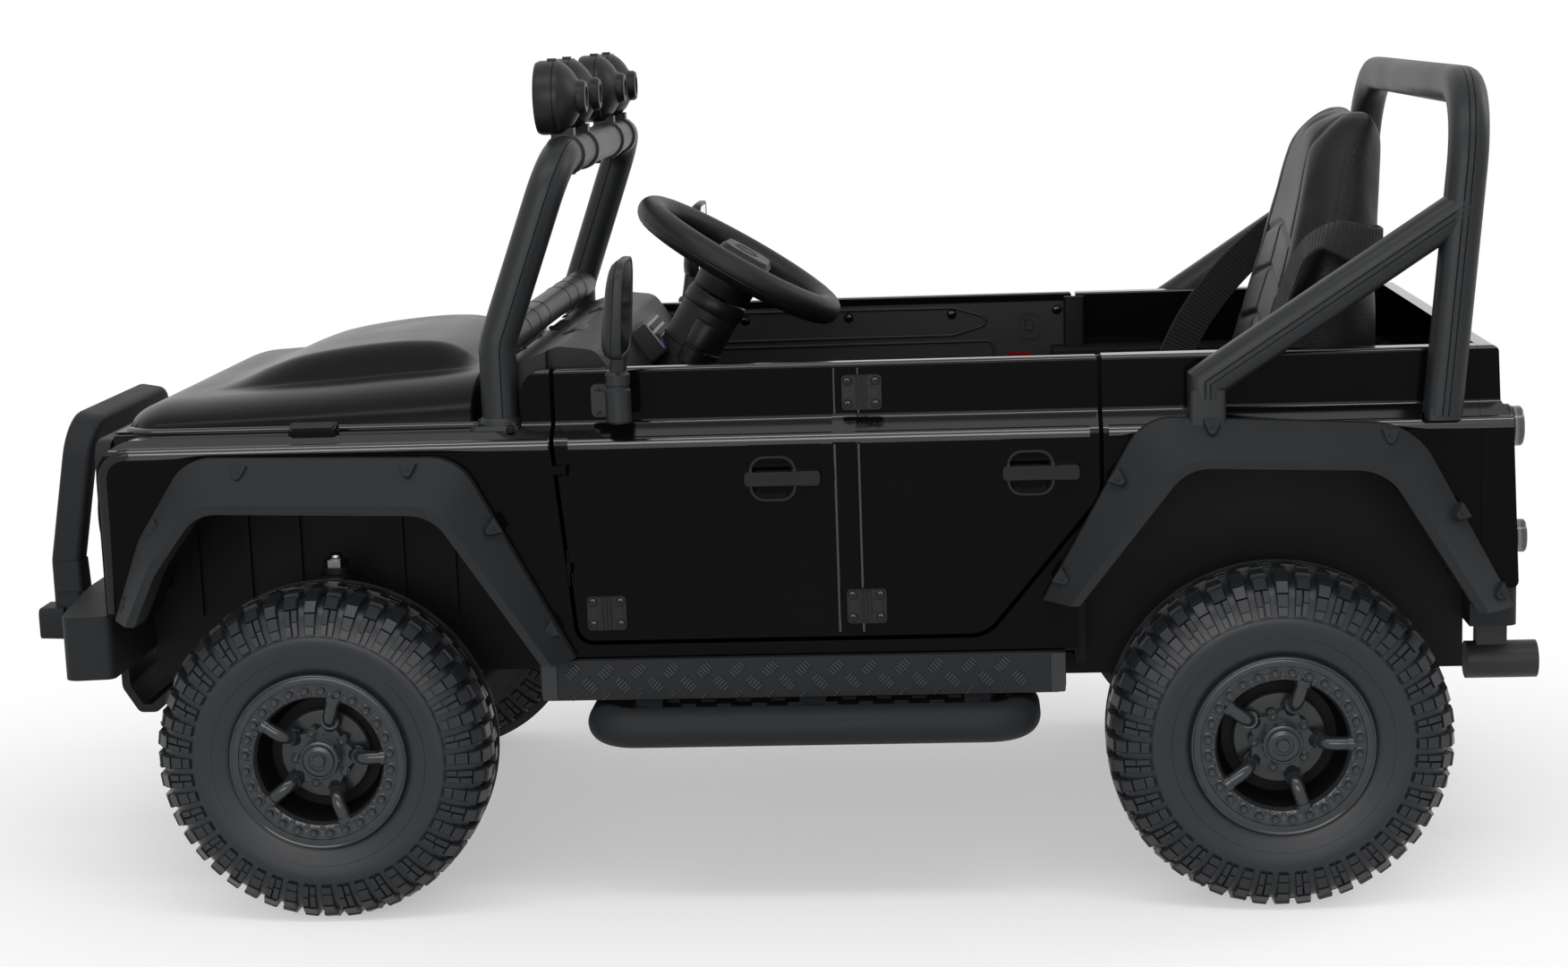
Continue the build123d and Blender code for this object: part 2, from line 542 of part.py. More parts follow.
# Front bumper, bull bar and skid plate
BUMPER_Z0, BUMPER_Z1 = 224.0, 284.0
BUMPER_FACE_X = SHELL_FRONT_X + 64.0
BUMPER_HALF = BODY_HALF - 3.0
bumper_back = SHELL_FRONT_X + SEAT_CLEAR
bumper_corner = BUMPER_FACE_X - 18.0
BUMPER_FLAT = 160.0
front_bumper = plan_prism(
    [(bumper_back, BUMPER_HALF - 6), (bumper_corner, BUMPER_HALF), (BUMPER_FACE_X, BUMPER_FLAT),
     (BUMPER_FACE_X, -BUMPER_FLAT), (bumper_corner, -BUMPER_HALF), (bumper_back, -BUMPER_HALF + 6)],
    [8, 14, 30, 30, 14, 8], BUMPER_Z0, BUMPER_Z1,
)
nodes["front_bumper"] = front_bumper

BULL_TOP_Z = 434.0
BULL_KNEE_Z = 305.0
bull_low_x, bull_top_x = BUMPER_FACE_X + 27.5, BUMPER_FACE_X + 4.0
bull_path = [
    (bull_low_x, BULL_Y, BUMPER_Z0 + 2), (bull_low_x, BULL_Y, BULL_KNEE_Z), (bull_top_x, BULL_Y, BULL_TOP_Z),
    (bull_top_x, -BULL_Y, BULL_TOP_Z), (bull_low_x, -BULL_Y, BULL_KNEE_Z),
    (bull_low_x, -BULL_Y, BUMPER_Z0 + 2),
]
bull_bar = tube_along(bull_path, [40, 26, 26, 40], Circle(BULL_TUBE_R))
PAD_HALF = 16.0
PAD_Z0, PAD_Z1 = 222.0, 266.0
pad_back = bull_low_x + 4.0
pad = block(BUMPER_FACE_X + SEAT_CLEAR, pad_back + 10, BULL_Y - 11, BULL_Y + 11, PAD_Z0 + 14, PAD_Z1 + 10)
pad += side_prism(
    [(pad_back, PAD_Z0), (FRONT_X, PAD_Z0), (FRONT_X, PAD_Z1), (pad_back, PAD_Z1)], [0, 8, 8, 0],
    BULL_Y - PAD_HALF, BULL_Y + PAD_HALF,
)
bull_bar += both(pad)
nodes["bull_bar"] = bull_bar

SKID_HALF = 100.0
SKID_LOW_Z = 142.0
skid_top = BUMPER_Z0 - SEAT_CLEAR
skid_foot = FLOOR_Z - SEAT_CLEAR
skid_front = BUMPER_FACE_X - 6.0
skid_plate = side_prism(
    [(skid_front, skid_top), (skid_front, SKID_LOW_Z + 26), (skid_front - 16, SKID_LOW_Z),
     (skid_front - 34, SKID_LOW_Z), (skid_front - 96, skid_foot), (skid_front - 82, skid_foot),
     (skid_front - 29, SKID_LOW_Z + 8),
     (skid_front - 20, SKID_LOW_Z + 8), (skid_front - 8, SKID_LOW_Z + 28), (skid_front - 8, skid_top)],
    [0, 14, 8, 8, 0, 0, 4, 4, 10, 0], -SKID_HALF, SKID_HALF,
)
nodes["skid_plate"] = skid_plate

# Rear bumper and the two tail pipes
REAR_BUMPER_HALF = BODY_HALF - 50.0
REAR_BUMPER_Z = 240.0
rear_face = SHELL_REAR_X - 52.0
rear_bumper = plan_prism(
    [(tail_seat, REAR_BUMPER_HALF), (rear_face + 10, REAR_BUMPER_HALF), (rear_face, REAR_BUMPER_HALF - 55),
     (rear_face, -REAR_BUMPER_HALF + 55), (rear_face + 10, -REAR_BUMPER_HALF),
     (tail_seat, -REAR_BUMPER_HALF)],
    [0, 10, 30, 30, 10, 0], REAR_BUMPER_Z, FLARE_BOTTOM_Z - SEAT_CLEAR,
)
nodes["rear_bumper"] = rear_bumper
PIPE_R = 17.5
PIPE_WALL = 3.0
PIPE_Y = BODY_HALF - 109.0
PIPE_Z = 195.0
pipe_root = rear_face + 45.0
pipe = rod((REAR_X, PIPE_Y, PIPE_Z), (pipe_root, PIPE_Y, PIPE_Z), PIPE_R)
pipe += block(rear_face + 8, rear_face + 36, PIPE_Y - 8, PIPE_Y + 8, PIPE_Z, REAR_BUMPER_Z)
pipe -= rod((REAR_X - 1, PIPE_Y, PIPE_Z), (pipe_root - 9, PIPE_Y, PIPE_Z), PIPE_R - PIPE_WALL)
nodes["exhaust"] = both(pipe)

# Side steps: bent tube, tread pad and three brackets under the strip
STEP_Z = 177.0
STEP_Y = FLARE_LIP_Y - STEP_TUBE_R
STEP_ROOT_Y = BODY_HALF - 43.0
step_front, step_rear = FRONT_AXLE_X - 261.0, REAR_AXLE_X + 231.0
BRACKET_HALF = 12.0
step = tube_along(
    [(step_front, STEP_ROOT_Y, STEP_Z), (step_front, STEP_Y, STEP_Z), (step_rear, STEP_Y, STEP_Z),
     (step_rear, STEP_ROOT_Y, STEP_Z)],
    [30, 30], Circle(STEP_TUBE_R),
)
step += block(step_rear, step_front, STEP_ROOT_Y, STEP_Y, STEP_Z + 4, STEP_Z + 12)
for bracket_x in (step_front - 39, (step_front + step_rear) / 2, step_rear + 39):
    step += block(bracket_x - BRACKET_HALF, bracket_x + BRACKET_HALF, STEP_ROOT_Y, BODY_HALF - 5, STEP_Z + 6,
                  STRIP_Z)
pair("side_step", step)

# Seat: moulded base over the battery, the cushion on its front half, the back on its rear half
SEAT_HALF = BODY_HALF - 117.0
SEAT_BASE_Z = 325.0
SEAT_T = 46.0
SEAT_WALL = 8.0
SEAT_TOP_Z = 706.0
SEAT_SHOULDER_Z = 560.0
SEAT_TOP_HALF = 96.0
seat_rear = REAR_AXLE_X - 120.0
seat_front = REAR_AXLE_X + 230.0
back_foot = REAR_AXLE_X + 30.0
seat_base = side_prism(
    [(seat_rear, FLOOR_TOP), (seat_rear, SEAT_BASE_Z), (seat_front - 12, SEAT_BASE_Z),
     (seat_front + 12, FLOOR_TOP)],
    [0, 6, 14, 0], -SEAT_HALF, SEAT_HALF,
)
seat_base -= block(seat_rear + SEAT_WALL, seat_front - 3 * SEAT_WALL, -SEAT_HALF + SEAT_WALL,
                   SEAT_HALF - SEAT_WALL,
                   0, SEAT_BASE_Z - SEAT_WALL)
nodes["seat_base"] = seat_base
BATTERY = (151.0, 130.0, 94.0)
nodes["battery"] = Pos(REAR_AXLE_X - 10, 0, FLOOR_TOP + BATTERY[2] / 2) * Box(*BATTERY)
cushion_z = SEAT_BASE_Z + SEAT_CLEAR
cushion_top = cushion_z + SEAT_T
cushion_rear, cushion_front = back_foot + 2.0, seat_front - 8.0
nodes["seat_cushion"] = side_prism(
    [(cushion_rear, cushion_z), (cushion_rear, cushion_top), (cushion_front, cushion_top),
     (cushion_front, cushion_z)],
    [0, 2, 18, 10], -SEAT_HALF + 8, SEAT_HALF - 8,
)
back_half = SEAT_HALF - 16.0
seat_back = side_prism(
    [(back_foot, cushion_z), (back_foot, cushion_top), (back_foot - 38, 468),
     (seat_rear + 34, SEAT_TOP_Z - 16),
     (seat_rear + 18, SEAT_TOP_Z), (seat_rear, SEAT_TOP_Z - 16), (seat_rear + 10, SEAT_SHOULDER_Z),
     (seat_rear + 10, cushion_z)],
    [0, 12, 60, 8, 8, 8, 60, 6], -SEAT_HALF, SEAT_HALF,
)
seat_back &= cross_prism(
    [(-back_half, cushion_z), (back_half, cushion_z), (back_half, SEAT_SHOULDER_Z),
     (SEAT_TOP_HALF, SEAT_TOP_Z),
     (-SEAT_TOP_HALF, SEAT_TOP_Z), (-back_half, SEAT_SHOULDER_Z)],
    [8, 8, 60, 24, 24, 60], seat_rear - 50, seat_front,
)
nodes["seat_back"] = seat_back

# Door: gloss shell with a raised band down its middle, cut for hinge leaves and handle cups, with trim inside
DOOR_INNER = INNER_HALF + TRIM_T
BAND_PROUD = 0.8
BAND_HALF = 10.5
BAND_X = DOOR_MID_X - 17.5
door_slab = extrude(door_face, amount=OUTSIDE_Y, dir=(0, 1, 0))
door_points, door_radii = side_section(DOOR_INNER)
door = cross_prism(door_points, door_radii, DOOR_REAR_X - 10, DOOR_FRONT_X + 10) & door_slab
band_points, band_radii = side_section(DOOR_INNER, BAND_PROUD)
door += cross_prism(band_points, band_radii, BAND_X - BAND_HALF, BAND_X + BAND_HALF) & door_slab
door -= hinge_notches
HANDLE_Z = 401.0
HANDLES = (DOOR_FRONT_X - 205.0, DOOR_REAR_X + 53.0)
HANDLE_LENGTH = 70.0
HANDLE_HALF = 7.0
HANDLE_PROUD = 9.0
CUP_SIZE = 36.0
CUP_CORNER = 12.0
CUP_DEPTH = 11.0
CUP_AHEAD = 9.0
for handle_x in HANDLES:
    cup_middle = (handle_x + CUP_AHEAD, BODY_HALF - CUP_DEPTH, HANDLE_Z - 1)
    cup_face = Plane(origin=cup_middle, x_dir=(1, 0, 0), z_dir=(0, 1, 0))
    door -= extrude(cup_face * RectangleRounded(CUP_SIZE, CUP_SIZE, CUP_CORNER), amount=2 * CUP_DEPTH)
pair("door", door)

TRIM_INSET = 9.0
trim_face = offset(door_face, amount=-TRIM_INSET)
door_trim = Pos(0, INNER_HALF, 0) * extrude(trim_face, amount=TRIM_T - SEAT_CLEAR, dir=(0, 1, 0))
pair("door_trim", door_trim)

# Handles and hinge plates on the door's face; columns x, z, face y
PLATE_HALF = 16.0
PLATE_T = 4.0
KNUCKLE_R = 6.0
HINGE_PLATES = [
    (DOOR_FRONT_X - 42.0, 279.0, BODY_HALF),
    (BAND_X - 14.0, 281.0, BODY_HALF + BAND_PROUD),
    (BAND_X - 14.0, 475.0, UPPER_HALF + BAND_PROUD),
]
fittings = Part()
for handle_x in HANDLES:
    x0, x1 = handle_x - HANDLE_LENGTH / 2, handle_x + HANDLE_LENGTH / 2
    z0, z1 = HANDLE_Z - HANDLE_HALF, HANDLE_Z + HANDLE_HALF
    fittings += side_prism([(x0, z0), (x1, z0), (x1, z1), (x0, z1)], 5, BODY_HALF, BODY_HALF + HANDLE_PROUD)
for plate_x, plate_z, plate_y in HINGE_PLATES:
    plate = block(plate_x - PLATE_HALF, plate_x + PLATE_HALF, plate_y, plate_y + PLATE_T,
                  plate_z - PLATE_HALF,
                  plate_z + PLATE_HALF)
    plate += Pos(plate_x, plate_y + PLATE_T, plate_z) * Cylinder(KNUCKLE_R, 2 * PLATE_HALF)
    fittings += plate - block(plate_x - 20, plate_x + 20, 0, plate_y, 0, TOP_Z)
pair("door_fittings", fittings)

# Mirrors on the doors
MIRROR_X = DOOR_FRONT_X - 63.0
MIRROR_Y = UPPER_HALF + 36.0
MIRROR_OUT_Y = MIRROR_Y + 78.0
MIRROR_Z0, MIRROR_Z1 = 520.0, 606.0
mirror_piece = block(MIRROR_X + 3, MIRROR_X + 29, UPPER_HALF, UPPER_HALF + 5, 457, 488)
mirror_piece += block(MIRROR_X - 6, MIRROR_X + 17, UPPER_HALF, MIRROR_Y, 463, 481)
mirror_piece += rod((MIRROR_X, MIRROR_Y, 457), (MIRROR_X, MIRROR_Y, TOP_Z - 1), 11)
mirror_piece += rod((MIRROR_X, MIRROR_Y, TOP_Z - 2), (MIRROR_X - 8, MIRROR_Y + 6, MIRROR_Z0 + 6), 8)
mirror_head = cross_prism(
    [(MIRROR_Y - 8, MIRROR_Z0), (MIRROR_OUT_Y, MIRROR_Z0), (MIRROR_OUT_Y, MIRROR_Z1),
     (MIRROR_Y - 8, MIRROR_Z1)], 20,
    MIRROR_X - 29, MIRROR_X + 3,
)
mirror_head = fillet(mirror_head.faces().sort_by(Axis.X)[-1].edges(), 12)
mirror_piece += mirror_head
pair("mirror", mirror_piece)

# Front axle: lower beam, side plates and upper ears that hold the kingpins
BEAM_Z0, BEAM_Z1 = 112.0, 132.0
EAR_Z0, EAR_Z1 = 280.0, 290.0
BEAM_HALF_X = 20.0
EAR_Y = KINGPIN_Y + 13.0
x0, x1 = FRONT_AXLE_X - BEAM_HALF_X, FRONT_AXLE_X + BEAM_HALF_X
front_axle = block(x0, x1, -EAR_Y, EAR_Y, BEAM_Z0, BEAM_Z1)
side_plate = block(x0, x1, WELL_Y, WELL_Y + 8, BEAM_Z0, EAR_Z1)
ear = block(x0, x1, WELL_Y, EAR_Y, EAR_Z0, EAR_Z1)
front_axle += both(side_plate + ear)
front_axle -= both(Pos(FRONT_AXLE_X, KINGPIN_Y, 200) * Cylinder(KINGPIN_R + RUN_CLEAR, 300))
nodes["front_axle"] = front_axle

# Knuckle: kingpin, boss, spindle and the arm behind it
ARM_Z0, ARM_Z1 = 172.0, 180.0
TIE_PIN_R = 4.0
WHEEL_OUT_Y = WHEEL_Y + TYRE_WIDTH / 2
knuckle = rod((FRONT_AXLE_X, KINGPIN_Y, 104), (FRONT_AXLE_X, KINGPIN_Y, 306), KINGPIN_R)
knuckle += rod((FRONT_AXLE_X, KINGPIN_Y, BEAM_Z1 + 1), (FRONT_AXLE_X, KINGPIN_Y, 186), 16)
knuckle += Pos(FRONT_AXLE_X, KINGPIN_Y, 306) * extrude(RegularPolygon(12, 6), amount=14)
knuckle += rod((FRONT_AXLE_X, KINGPIN_Y, TYRE_R), (FRONT_AXLE_X, WHEEL_OUT_Y - 8, TYRE_R), AXLE_R)
arm_x = FRONT_AXLE_X - STEER_ARM
knuckle += block(arm_x, FRONT_AXLE_X, KINGPIN_Y - 9, KINGPIN_Y + 9, ARM_Z0, ARM_Z1)
knuckle += Pos(arm_x, KINGPIN_Y, (ARM_Z0 + ARM_Z1) / 2) * Cylinder(9, ARM_Z1 - ARM_Z0)
knuckle += rod((arm_x, KINGPIN_Y, 160), (arm_x, KINGPIN_Y, ARM_Z0 + 1), TIE_PIN_R)
pair("knuckle", knuckle)

# Tie rod: its eyes are slotted fore and aft, which takes up the arms' arc
EYE_HALF = 5.0
TIE_Z = ARM_Z0 - EYE_HALF - SEAT_CLEAR
EYE_SLOT = 12.0
tie_rod = rod((arm_x, -KINGPIN_Y + 6, TIE_Z), (arm_x, KINGPIN_Y - 6, TIE_Z), 5)
eye = plan_prism(
    [(arm_x - 13, KINGPIN_Y - 9), (arm_x + 13, KINGPIN_Y - 9), (arm_x + 13, KINGPIN_Y + 9),
     (arm_x - 13, KINGPIN_Y + 9)],
    8, TIE_Z - EYE_HALF, TIE_Z + EYE_HALF,
)
slot = Pos(arm_x, KINGPIN_Y, TIE_Z - 20) * extrude(SlotOverall(EYE_SLOT + 6, 2 * TIE_PIN_R + 2.4), amount=40)
tie_rod += both(eye)
tie_rod -= both(slot)
nodes["tie_rod"] = tie_rod

# Rear axle with a motor and gearbox on each side under the floor
rear_axle = rod((REAR_AXLE_X, -WHEEL_OUT_Y + 8, TYRE_R), (REAR_AXLE_X, WHEEL_OUT_Y - 8, TYRE_R), AXLE_R)
GEARBOX_IN_Y, GEARBOX_OUT_Y = REAR_WELL_Y - 52.0, REAR_WELL_Y - 4.0
MOTOR_R = 22.0
MOTOR_Z = 162.0
MOTOR_LENGTH = 70.0
motor_x = REAR_AXLE_X + 42.0
gearbox = side_prism(
    [(REAR_AXLE_X - 36, 118), (REAR_AXLE_X + 70, 132), (REAR_AXLE_X + 70, FLOOR_Z),
     (REAR_AXLE_X - 36, FLOOR_Z)],
    [20, 14, 0, 0], GEARBOX_IN_Y, GEARBOX_OUT_Y,
)
gearbox += rod((motor_x, GEARBOX_IN_Y - MOTOR_LENGTH, MOTOR_Z), (motor_x, GEARBOX_IN_Y + 2, MOTOR_Z), MOTOR_R)
rear_axle += both(gearbox)
nodes["rear_axle"] = rear_axle


# Wheels, turned about Y at the origin and then set on their axles
def tyre():
    """Hollow-look tyre: smooth sidewalls, and two rows of staggered lugs over a rounded shoulder."""
    half = TYRE_WIDTH / 2
    base_r = TYRE_R - LUG_DEPTH
    bore = RIM_R + SEAT_CLEAR
    carcass = turned_y([
        (bore, -half + 10), (SIDEWALL_R, -half), (base_r, -half + 12), (base_r, half - 12),
        (SIDEWALL_R, half),
        (bore, half - 10),
    ])
    crown = turned_y([
        (base_r - 26, -half), (SIDEWALL_R, -half), (TYRE_R - 9, -half + 9), (TYRE_R, -half + 22),
        (TYRE_R, half - 22), (TYRE_R - 9, half - 9), (SIDEWALL_R, half), (base_r - 26, half),
    ])
    pitch = 360.0 / LUG_COUNT
    lug_w = 2 * TYRE_R * sin(radians(pitch / 2)) * 0.56
    lugs = []
    for row, y_mid in ((0, -half / 2), (1, half / 2)):
        bar = Pos(TYRE_R - 20, y_mid, 0) * Box(60, half - 1, lug_w)
        lugs += [Rot(0, (i + row / 2) * pitch, 0) * bar for i in range(LUG_COUNT)]
    treads = (Part() + lugs) & crown
    return carcass + treads


def rim():
    """Barrel, bolted ring, dished web and five tube spokes that run from the hub out to the ring."""
    half = TYRE_WIDTH / 2
    barrel = turned_y([
        (RIM_R - 6, -half + 8), (RIM_R, -half + 8), (RIM_R, half - 8.5), (RING_R, half - 8),
        (RING_R, half - 2),
        (RING_R - 4, half), (RING_INNER_R + 4, half - 2), (RING_INNER_R, half - 6), (RIM_R - 6, half - 22),
    ])
    web = turned_y([
        (AXLE_R + RUN_CLEAR, -20), (24, -20), (26, -6), (RIM_R - 5, -12), (RIM_R - 5, -4), (44, 2), (40, 16),
        (30, half - 16), (20, half - 13), (20, half - 6), (AXLE_R + RUN_CLEAR, half - 6),
    ])
    wheel = barrel + web
    for i in range(SPOKE_COUNT):
        spoke = rod((28, half - 20, 0), (RING_INNER_R + 3, half - 9, 0), SPOKE_R)
        wheel += Rot(0, i * 360.0 / SPOKE_COUNT + 8, 0) * spoke
    cap = turned_y([(0, half - 6), (20, half - 6), (18, half - 2), (0, half - 1)])
    return wheel + cap


tyre_solid = tyre()
rim_solid = rim()
for end, axle_x in (("front", FRONT_AXLE_X), ("rear", REAR_AXLE_X)):
    at_wheel = Pos(axle_x, WHEEL_Y, TYRE_R)
    pair(end + "_tyre", at_wheel * tyre_solid)
    pair(end + "_rim", at_wheel * rim_solid)

os.makedirs("parts", exist_ok=True)
for name, part in nodes.items():
    export_step(part, f"parts/{name}.step")
print(len(nodes), "nodes")
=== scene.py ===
import json
import math

import bpy
import bmesh
from mathutils import Matrix, Vector
from mathutils.bvhtree import BVHTree


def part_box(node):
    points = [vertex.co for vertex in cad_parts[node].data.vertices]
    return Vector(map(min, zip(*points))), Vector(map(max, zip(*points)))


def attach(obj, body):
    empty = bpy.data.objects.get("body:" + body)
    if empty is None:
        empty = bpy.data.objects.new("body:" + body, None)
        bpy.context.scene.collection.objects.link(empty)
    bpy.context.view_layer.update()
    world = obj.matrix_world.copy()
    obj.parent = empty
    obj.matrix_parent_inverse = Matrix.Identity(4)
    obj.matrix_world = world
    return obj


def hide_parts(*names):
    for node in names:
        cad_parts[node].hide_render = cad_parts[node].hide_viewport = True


# Ride-on toy off-road 4x4, dressed around its CAD frame. X forward, Y to the rider's left, Z up.
# Forms are drawn in millimetres and turned into metres when their meshes are made.

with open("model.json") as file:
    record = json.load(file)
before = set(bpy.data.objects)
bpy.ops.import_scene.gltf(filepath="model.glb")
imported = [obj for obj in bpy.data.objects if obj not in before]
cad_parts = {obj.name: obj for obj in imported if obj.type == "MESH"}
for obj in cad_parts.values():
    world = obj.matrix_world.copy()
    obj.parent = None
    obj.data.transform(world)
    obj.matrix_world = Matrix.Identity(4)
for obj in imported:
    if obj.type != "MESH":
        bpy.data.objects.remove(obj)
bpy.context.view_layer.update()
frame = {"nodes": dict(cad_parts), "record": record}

MM = 0.001
SIDES = (("left", 1.0), ("right", -1.0))


def middle(node):
    low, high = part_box(node)
    return (Vector(low) + Vector(high)) / 2 / MM


def size_of(node):
    low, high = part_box(node)
    return (Vector(high) - Vector(low)) / MM


# Materials


def feed(tree, node, inputs):
    """Set sockets from a table of socket and value, or socket and the output that feeds it."""
    for socket, value in inputs.items():
        if isinstance(value, bpy.types.NodeSocket):
            tree.links.new(value, node.inputs[socket])
        else:
            node.inputs[socket].default_value = value


def add_node(tree, kind, inputs=None):
    node = tree.nodes.new(kind)
    feed(tree, node, inputs or {})
    return node


def surface(name, colour, rough, *, mottle=0.2, mottle_scale=14, grain=0.0, grain_scale=900, metallic=0.0,
            specular=0.5, sheen=0.0, stretch=(1.0, 1.0, 1.0), pebble=False, top_face_highlight=None):
    """Plain finish with uneven gloss and colour and a fine grain; top_face_highlight is extra reflection on faces
    that look up, a painted highlight set by which way a face points.
    """
    mat = bpy.data.materials.new(name)
    mat.use_nodes = True
    tree = mat.node_tree
    shader = tree.nodes["Principled BSDF"]
    feed(tree, shader, {"Metallic": metallic, "Specular IOR Level": specular, "Sheen Weight": sheen})
    place = add_node(tree, "ShaderNodeTexCoord")
    scaled = add_node(tree, "ShaderNodeMapping", {"Vector": place.outputs["Object"], "Scale": stretch})
    vector = {"Vector": scaled.outputs["Vector"]}
    # Faces that look up reflect more than the sides of the same finish: a painted highlight on their tops.
    if top_face_highlight is not None:
        split = add_node(tree, "ShaderNodeSeparateXYZ", {"Vector": place.outputs["Normal"]})
        top_face_reflection = add_node(tree, "ShaderNodeMapRange",
                         {"Value": split.outputs["Z"], "From Min": 0.12, "From Max": 0.6, "To Min": specular,
                          "To Max": top_face_highlight})
        top_face_reflection.interpolation_type = "SMOOTHSTEP"
        feed(tree, shader, {"Specular IOR Level": top_face_reflection.outputs["Result"]})
    cloud = add_node(tree, "ShaderNodeTexNoise", {**vector, "Scale": mottle_scale, "Detail": 5.0})
    gloss = add_node(tree, "ShaderNodeMapRange", {"Value": cloud.outputs["Fac"], "To Min": rough * (1.0 - mottle),
                                                  "To Max": rough * (1.0 + mottle)})
    tint = add_node(tree, "ShaderNodeMix")
    tint.data_type = "RGBA"
    dark, light = [(*[c * (1.0 + way * mottle * 0.4) for c in colour], 1.0) for way in (-1, 1)]
    feed(tree, tint, {"Factor": cloud.outputs["Fac"], "A": dark, "B": light})
    feed(tree, shader, {"Roughness": gloss.outputs["Result"], "Base Color": tint.outputs["Result"]})
    if grain:
        if pebble:
            height = add_node(tree, "ShaderNodeTexVoronoi", {**vector, "Scale": grain_scale}).outputs["Distance"]
        else:
            height = add_node(tree, "ShaderNodeTexNoise", {**vector, "Scale": grain_scale}).outputs["Fac"]
        bump = add_node(tree, "ShaderNodeBump", {"Strength": grain, "Distance": 0.4 * MM, "Height": height})
        feed(tree, shader, {"Normal": bump.outputs["Normal"]})
    return mat


def clear_lens(name, colour, rough):
    mat = surface(name, colour, rough, mottle=0.1)
    tree = mat.node_tree
    feed(tree, tree.nodes["Principled BSDF"], {"Transmission Weight": 0.75, "IOR": 1.49})
    return mat


GLOSS = (0.0022, 0.0022, 0.0024)
GLOSS_GRAIN = dict(grain=0.012, grain_scale=60)
# Plain finishes; columns colour, roughness, the rest
PLAIN = {
    # gloss_black and satin_black reflect more where their faces look up, a painted highlight on their tops.
    "gloss_black": (GLOSS, 0.1, dict(mottle=0.8, mottle_scale=5.0, specular=0.05, top_face_highlight=0.55, **GLOSS_GRAIN)),
    "gloss_trim": (GLOSS, 0.14, dict(mottle=0.3, specular=0.3, **GLOSS_GRAIN)),
    # Body gloss with far stronger reflection, for rolled edges and creases: a painted highlight along them.
    "edge_highlight_gloss": (GLOSS, 0.12, dict(mottle=0.3, specular=0.75, **GLOSS_GRAIN)),
    "satin_black": ((0.0042, 0.0043, 0.0046), 0.28, dict(specular=0.06, top_face_highlight=0.09, grain=0.03, grain_scale=500)),
    "charcoal": ((0.0135, 0.0145, 0.016), 0.55, dict(grain=0.3, grain_scale=1400, specular=0.13)),
    "chassis_black": ((0.003, 0.003, 0.0032), 0.5, dict(grain=0.1, grain_scale=700, specular=0.12)),
    "dash_black": ((0.0085, 0.009, 0.0096), 0.45, dict(grain=0.35, grain_scale=1300, specular=0.2, pebble=True)),
    "frame_black": ((0.0105, 0.0115, 0.0125), 0.42, dict(grain=0.2, grain_scale=1500, specular=0.24)),
    "lamp_black": ((0.008, 0.0085, 0.009), 0.4, dict(grain=0.15, grain_scale=1500, specular=0.2)),
    "wheel_black": ((0.0065, 0.0069, 0.0074), 0.46, dict(grain=0.3, grain_scale=1600, specular=0.22)),
    "tyre_black": ((0.0125, 0.0137, 0.0155), 0.36, dict(mottle=0.25, grain=0.2, grain_scale=1100, specular=0.3)),
    "rim_black": ((0.0165, 0.0183, 0.0205), 0.2, dict(grain=0.06, specular=0.42)),
    "leather_black": ((0.0062, 0.0065, 0.007), 0.42, dict(grain=0.5, grain_scale=620, specular=0.14, pebble=True)),
    "thread": ((0.02, 0.0205, 0.021), 0.7, dict(grain=0.4, grain_scale=2500, specular=0.15)),
    "webbing": ((0.011, 0.0113, 0.0118), 0.75, dict(grain=0.6, grain_scale=1900, specular=0.15, sheen=0.1)),
    "radio_silver": ((0.13, 0.135, 0.14), 0.4, dict(metallic=0.6, grain=0.1)),
    "screen_blue": ((0.035, 0.04, 0.22), 0.15, dict(mottle=0.5, mottle_scale=60)),
    "steel": ((0.24, 0.24, 0.25), 0.3, dict(metallic=1.0, grain=0.1, grain_scale=300, stretch=(1.0, 1.0, 12))),
    "pipe_grey": ((0.018, 0.019, 0.0205), 0.42, dict(grain=0.15, specular=0.25)),
    "plate_grey": ((0.02, 0.0215, 0.0235), 0.42, dict(grain=0.15, grain_scale=1200, specular=0.25)),
    "battery_case": ((0.02, 0.02, 0.021), 0.5, dict(grain=0.1, grain_scale=800)),
    "chrome": ((0.75, 0.76, 0.78), 0.1, dict(metallic=1.0)),
}
# Clear finishes; columns colour, roughness
CLEAR = {
    "lamp_lens": ((0.85, 0.87, 0.9), 0.08),
    "tail_lens": ((0.17, 0.175, 0.185), 0.14),
    "red_lens": ((0.55, 0.01, 0.015), 0.12),
}
FINISH = {name: surface(name, colour, rough, **rest) for name, (colour, rough, rest) in PLAIN.items()}
FINISH.update({name: clear_lens(name, colour, rough) for name, (colour, rough) in CLEAR.items()})

for entry in frame["record"]["subparts"]:
    node_mesh = frame["nodes"][entry["node"]].data
    node_mesh.materials.clear()
    node_mesh.materials.append(FINISH[entry["material_slot"]])


# Mesh building


def shift(x, y, z):
    return Matrix.Translation((x, y, z))


def spin(angle):
    return Matrix.Rotation(angle, 4, "Z")


def facing(origin, outward, up=(0.0, 0.0, 1.0)):
    """Matrix whose local Z points outward and local Y up, or forward where outward is upright."""
    z = Vector(outward).normalized()
    if abs(Vector(up).normalized().dot(z)) > 0.99:
        up = (1.0, 0.0, 0.0)
    x = Vector(up).cross(z).normalized()
    y = z.cross(x)
    return Matrix.Translation(Vector(origin)) @ Matrix((x, y, z)).transposed().to_4x4()


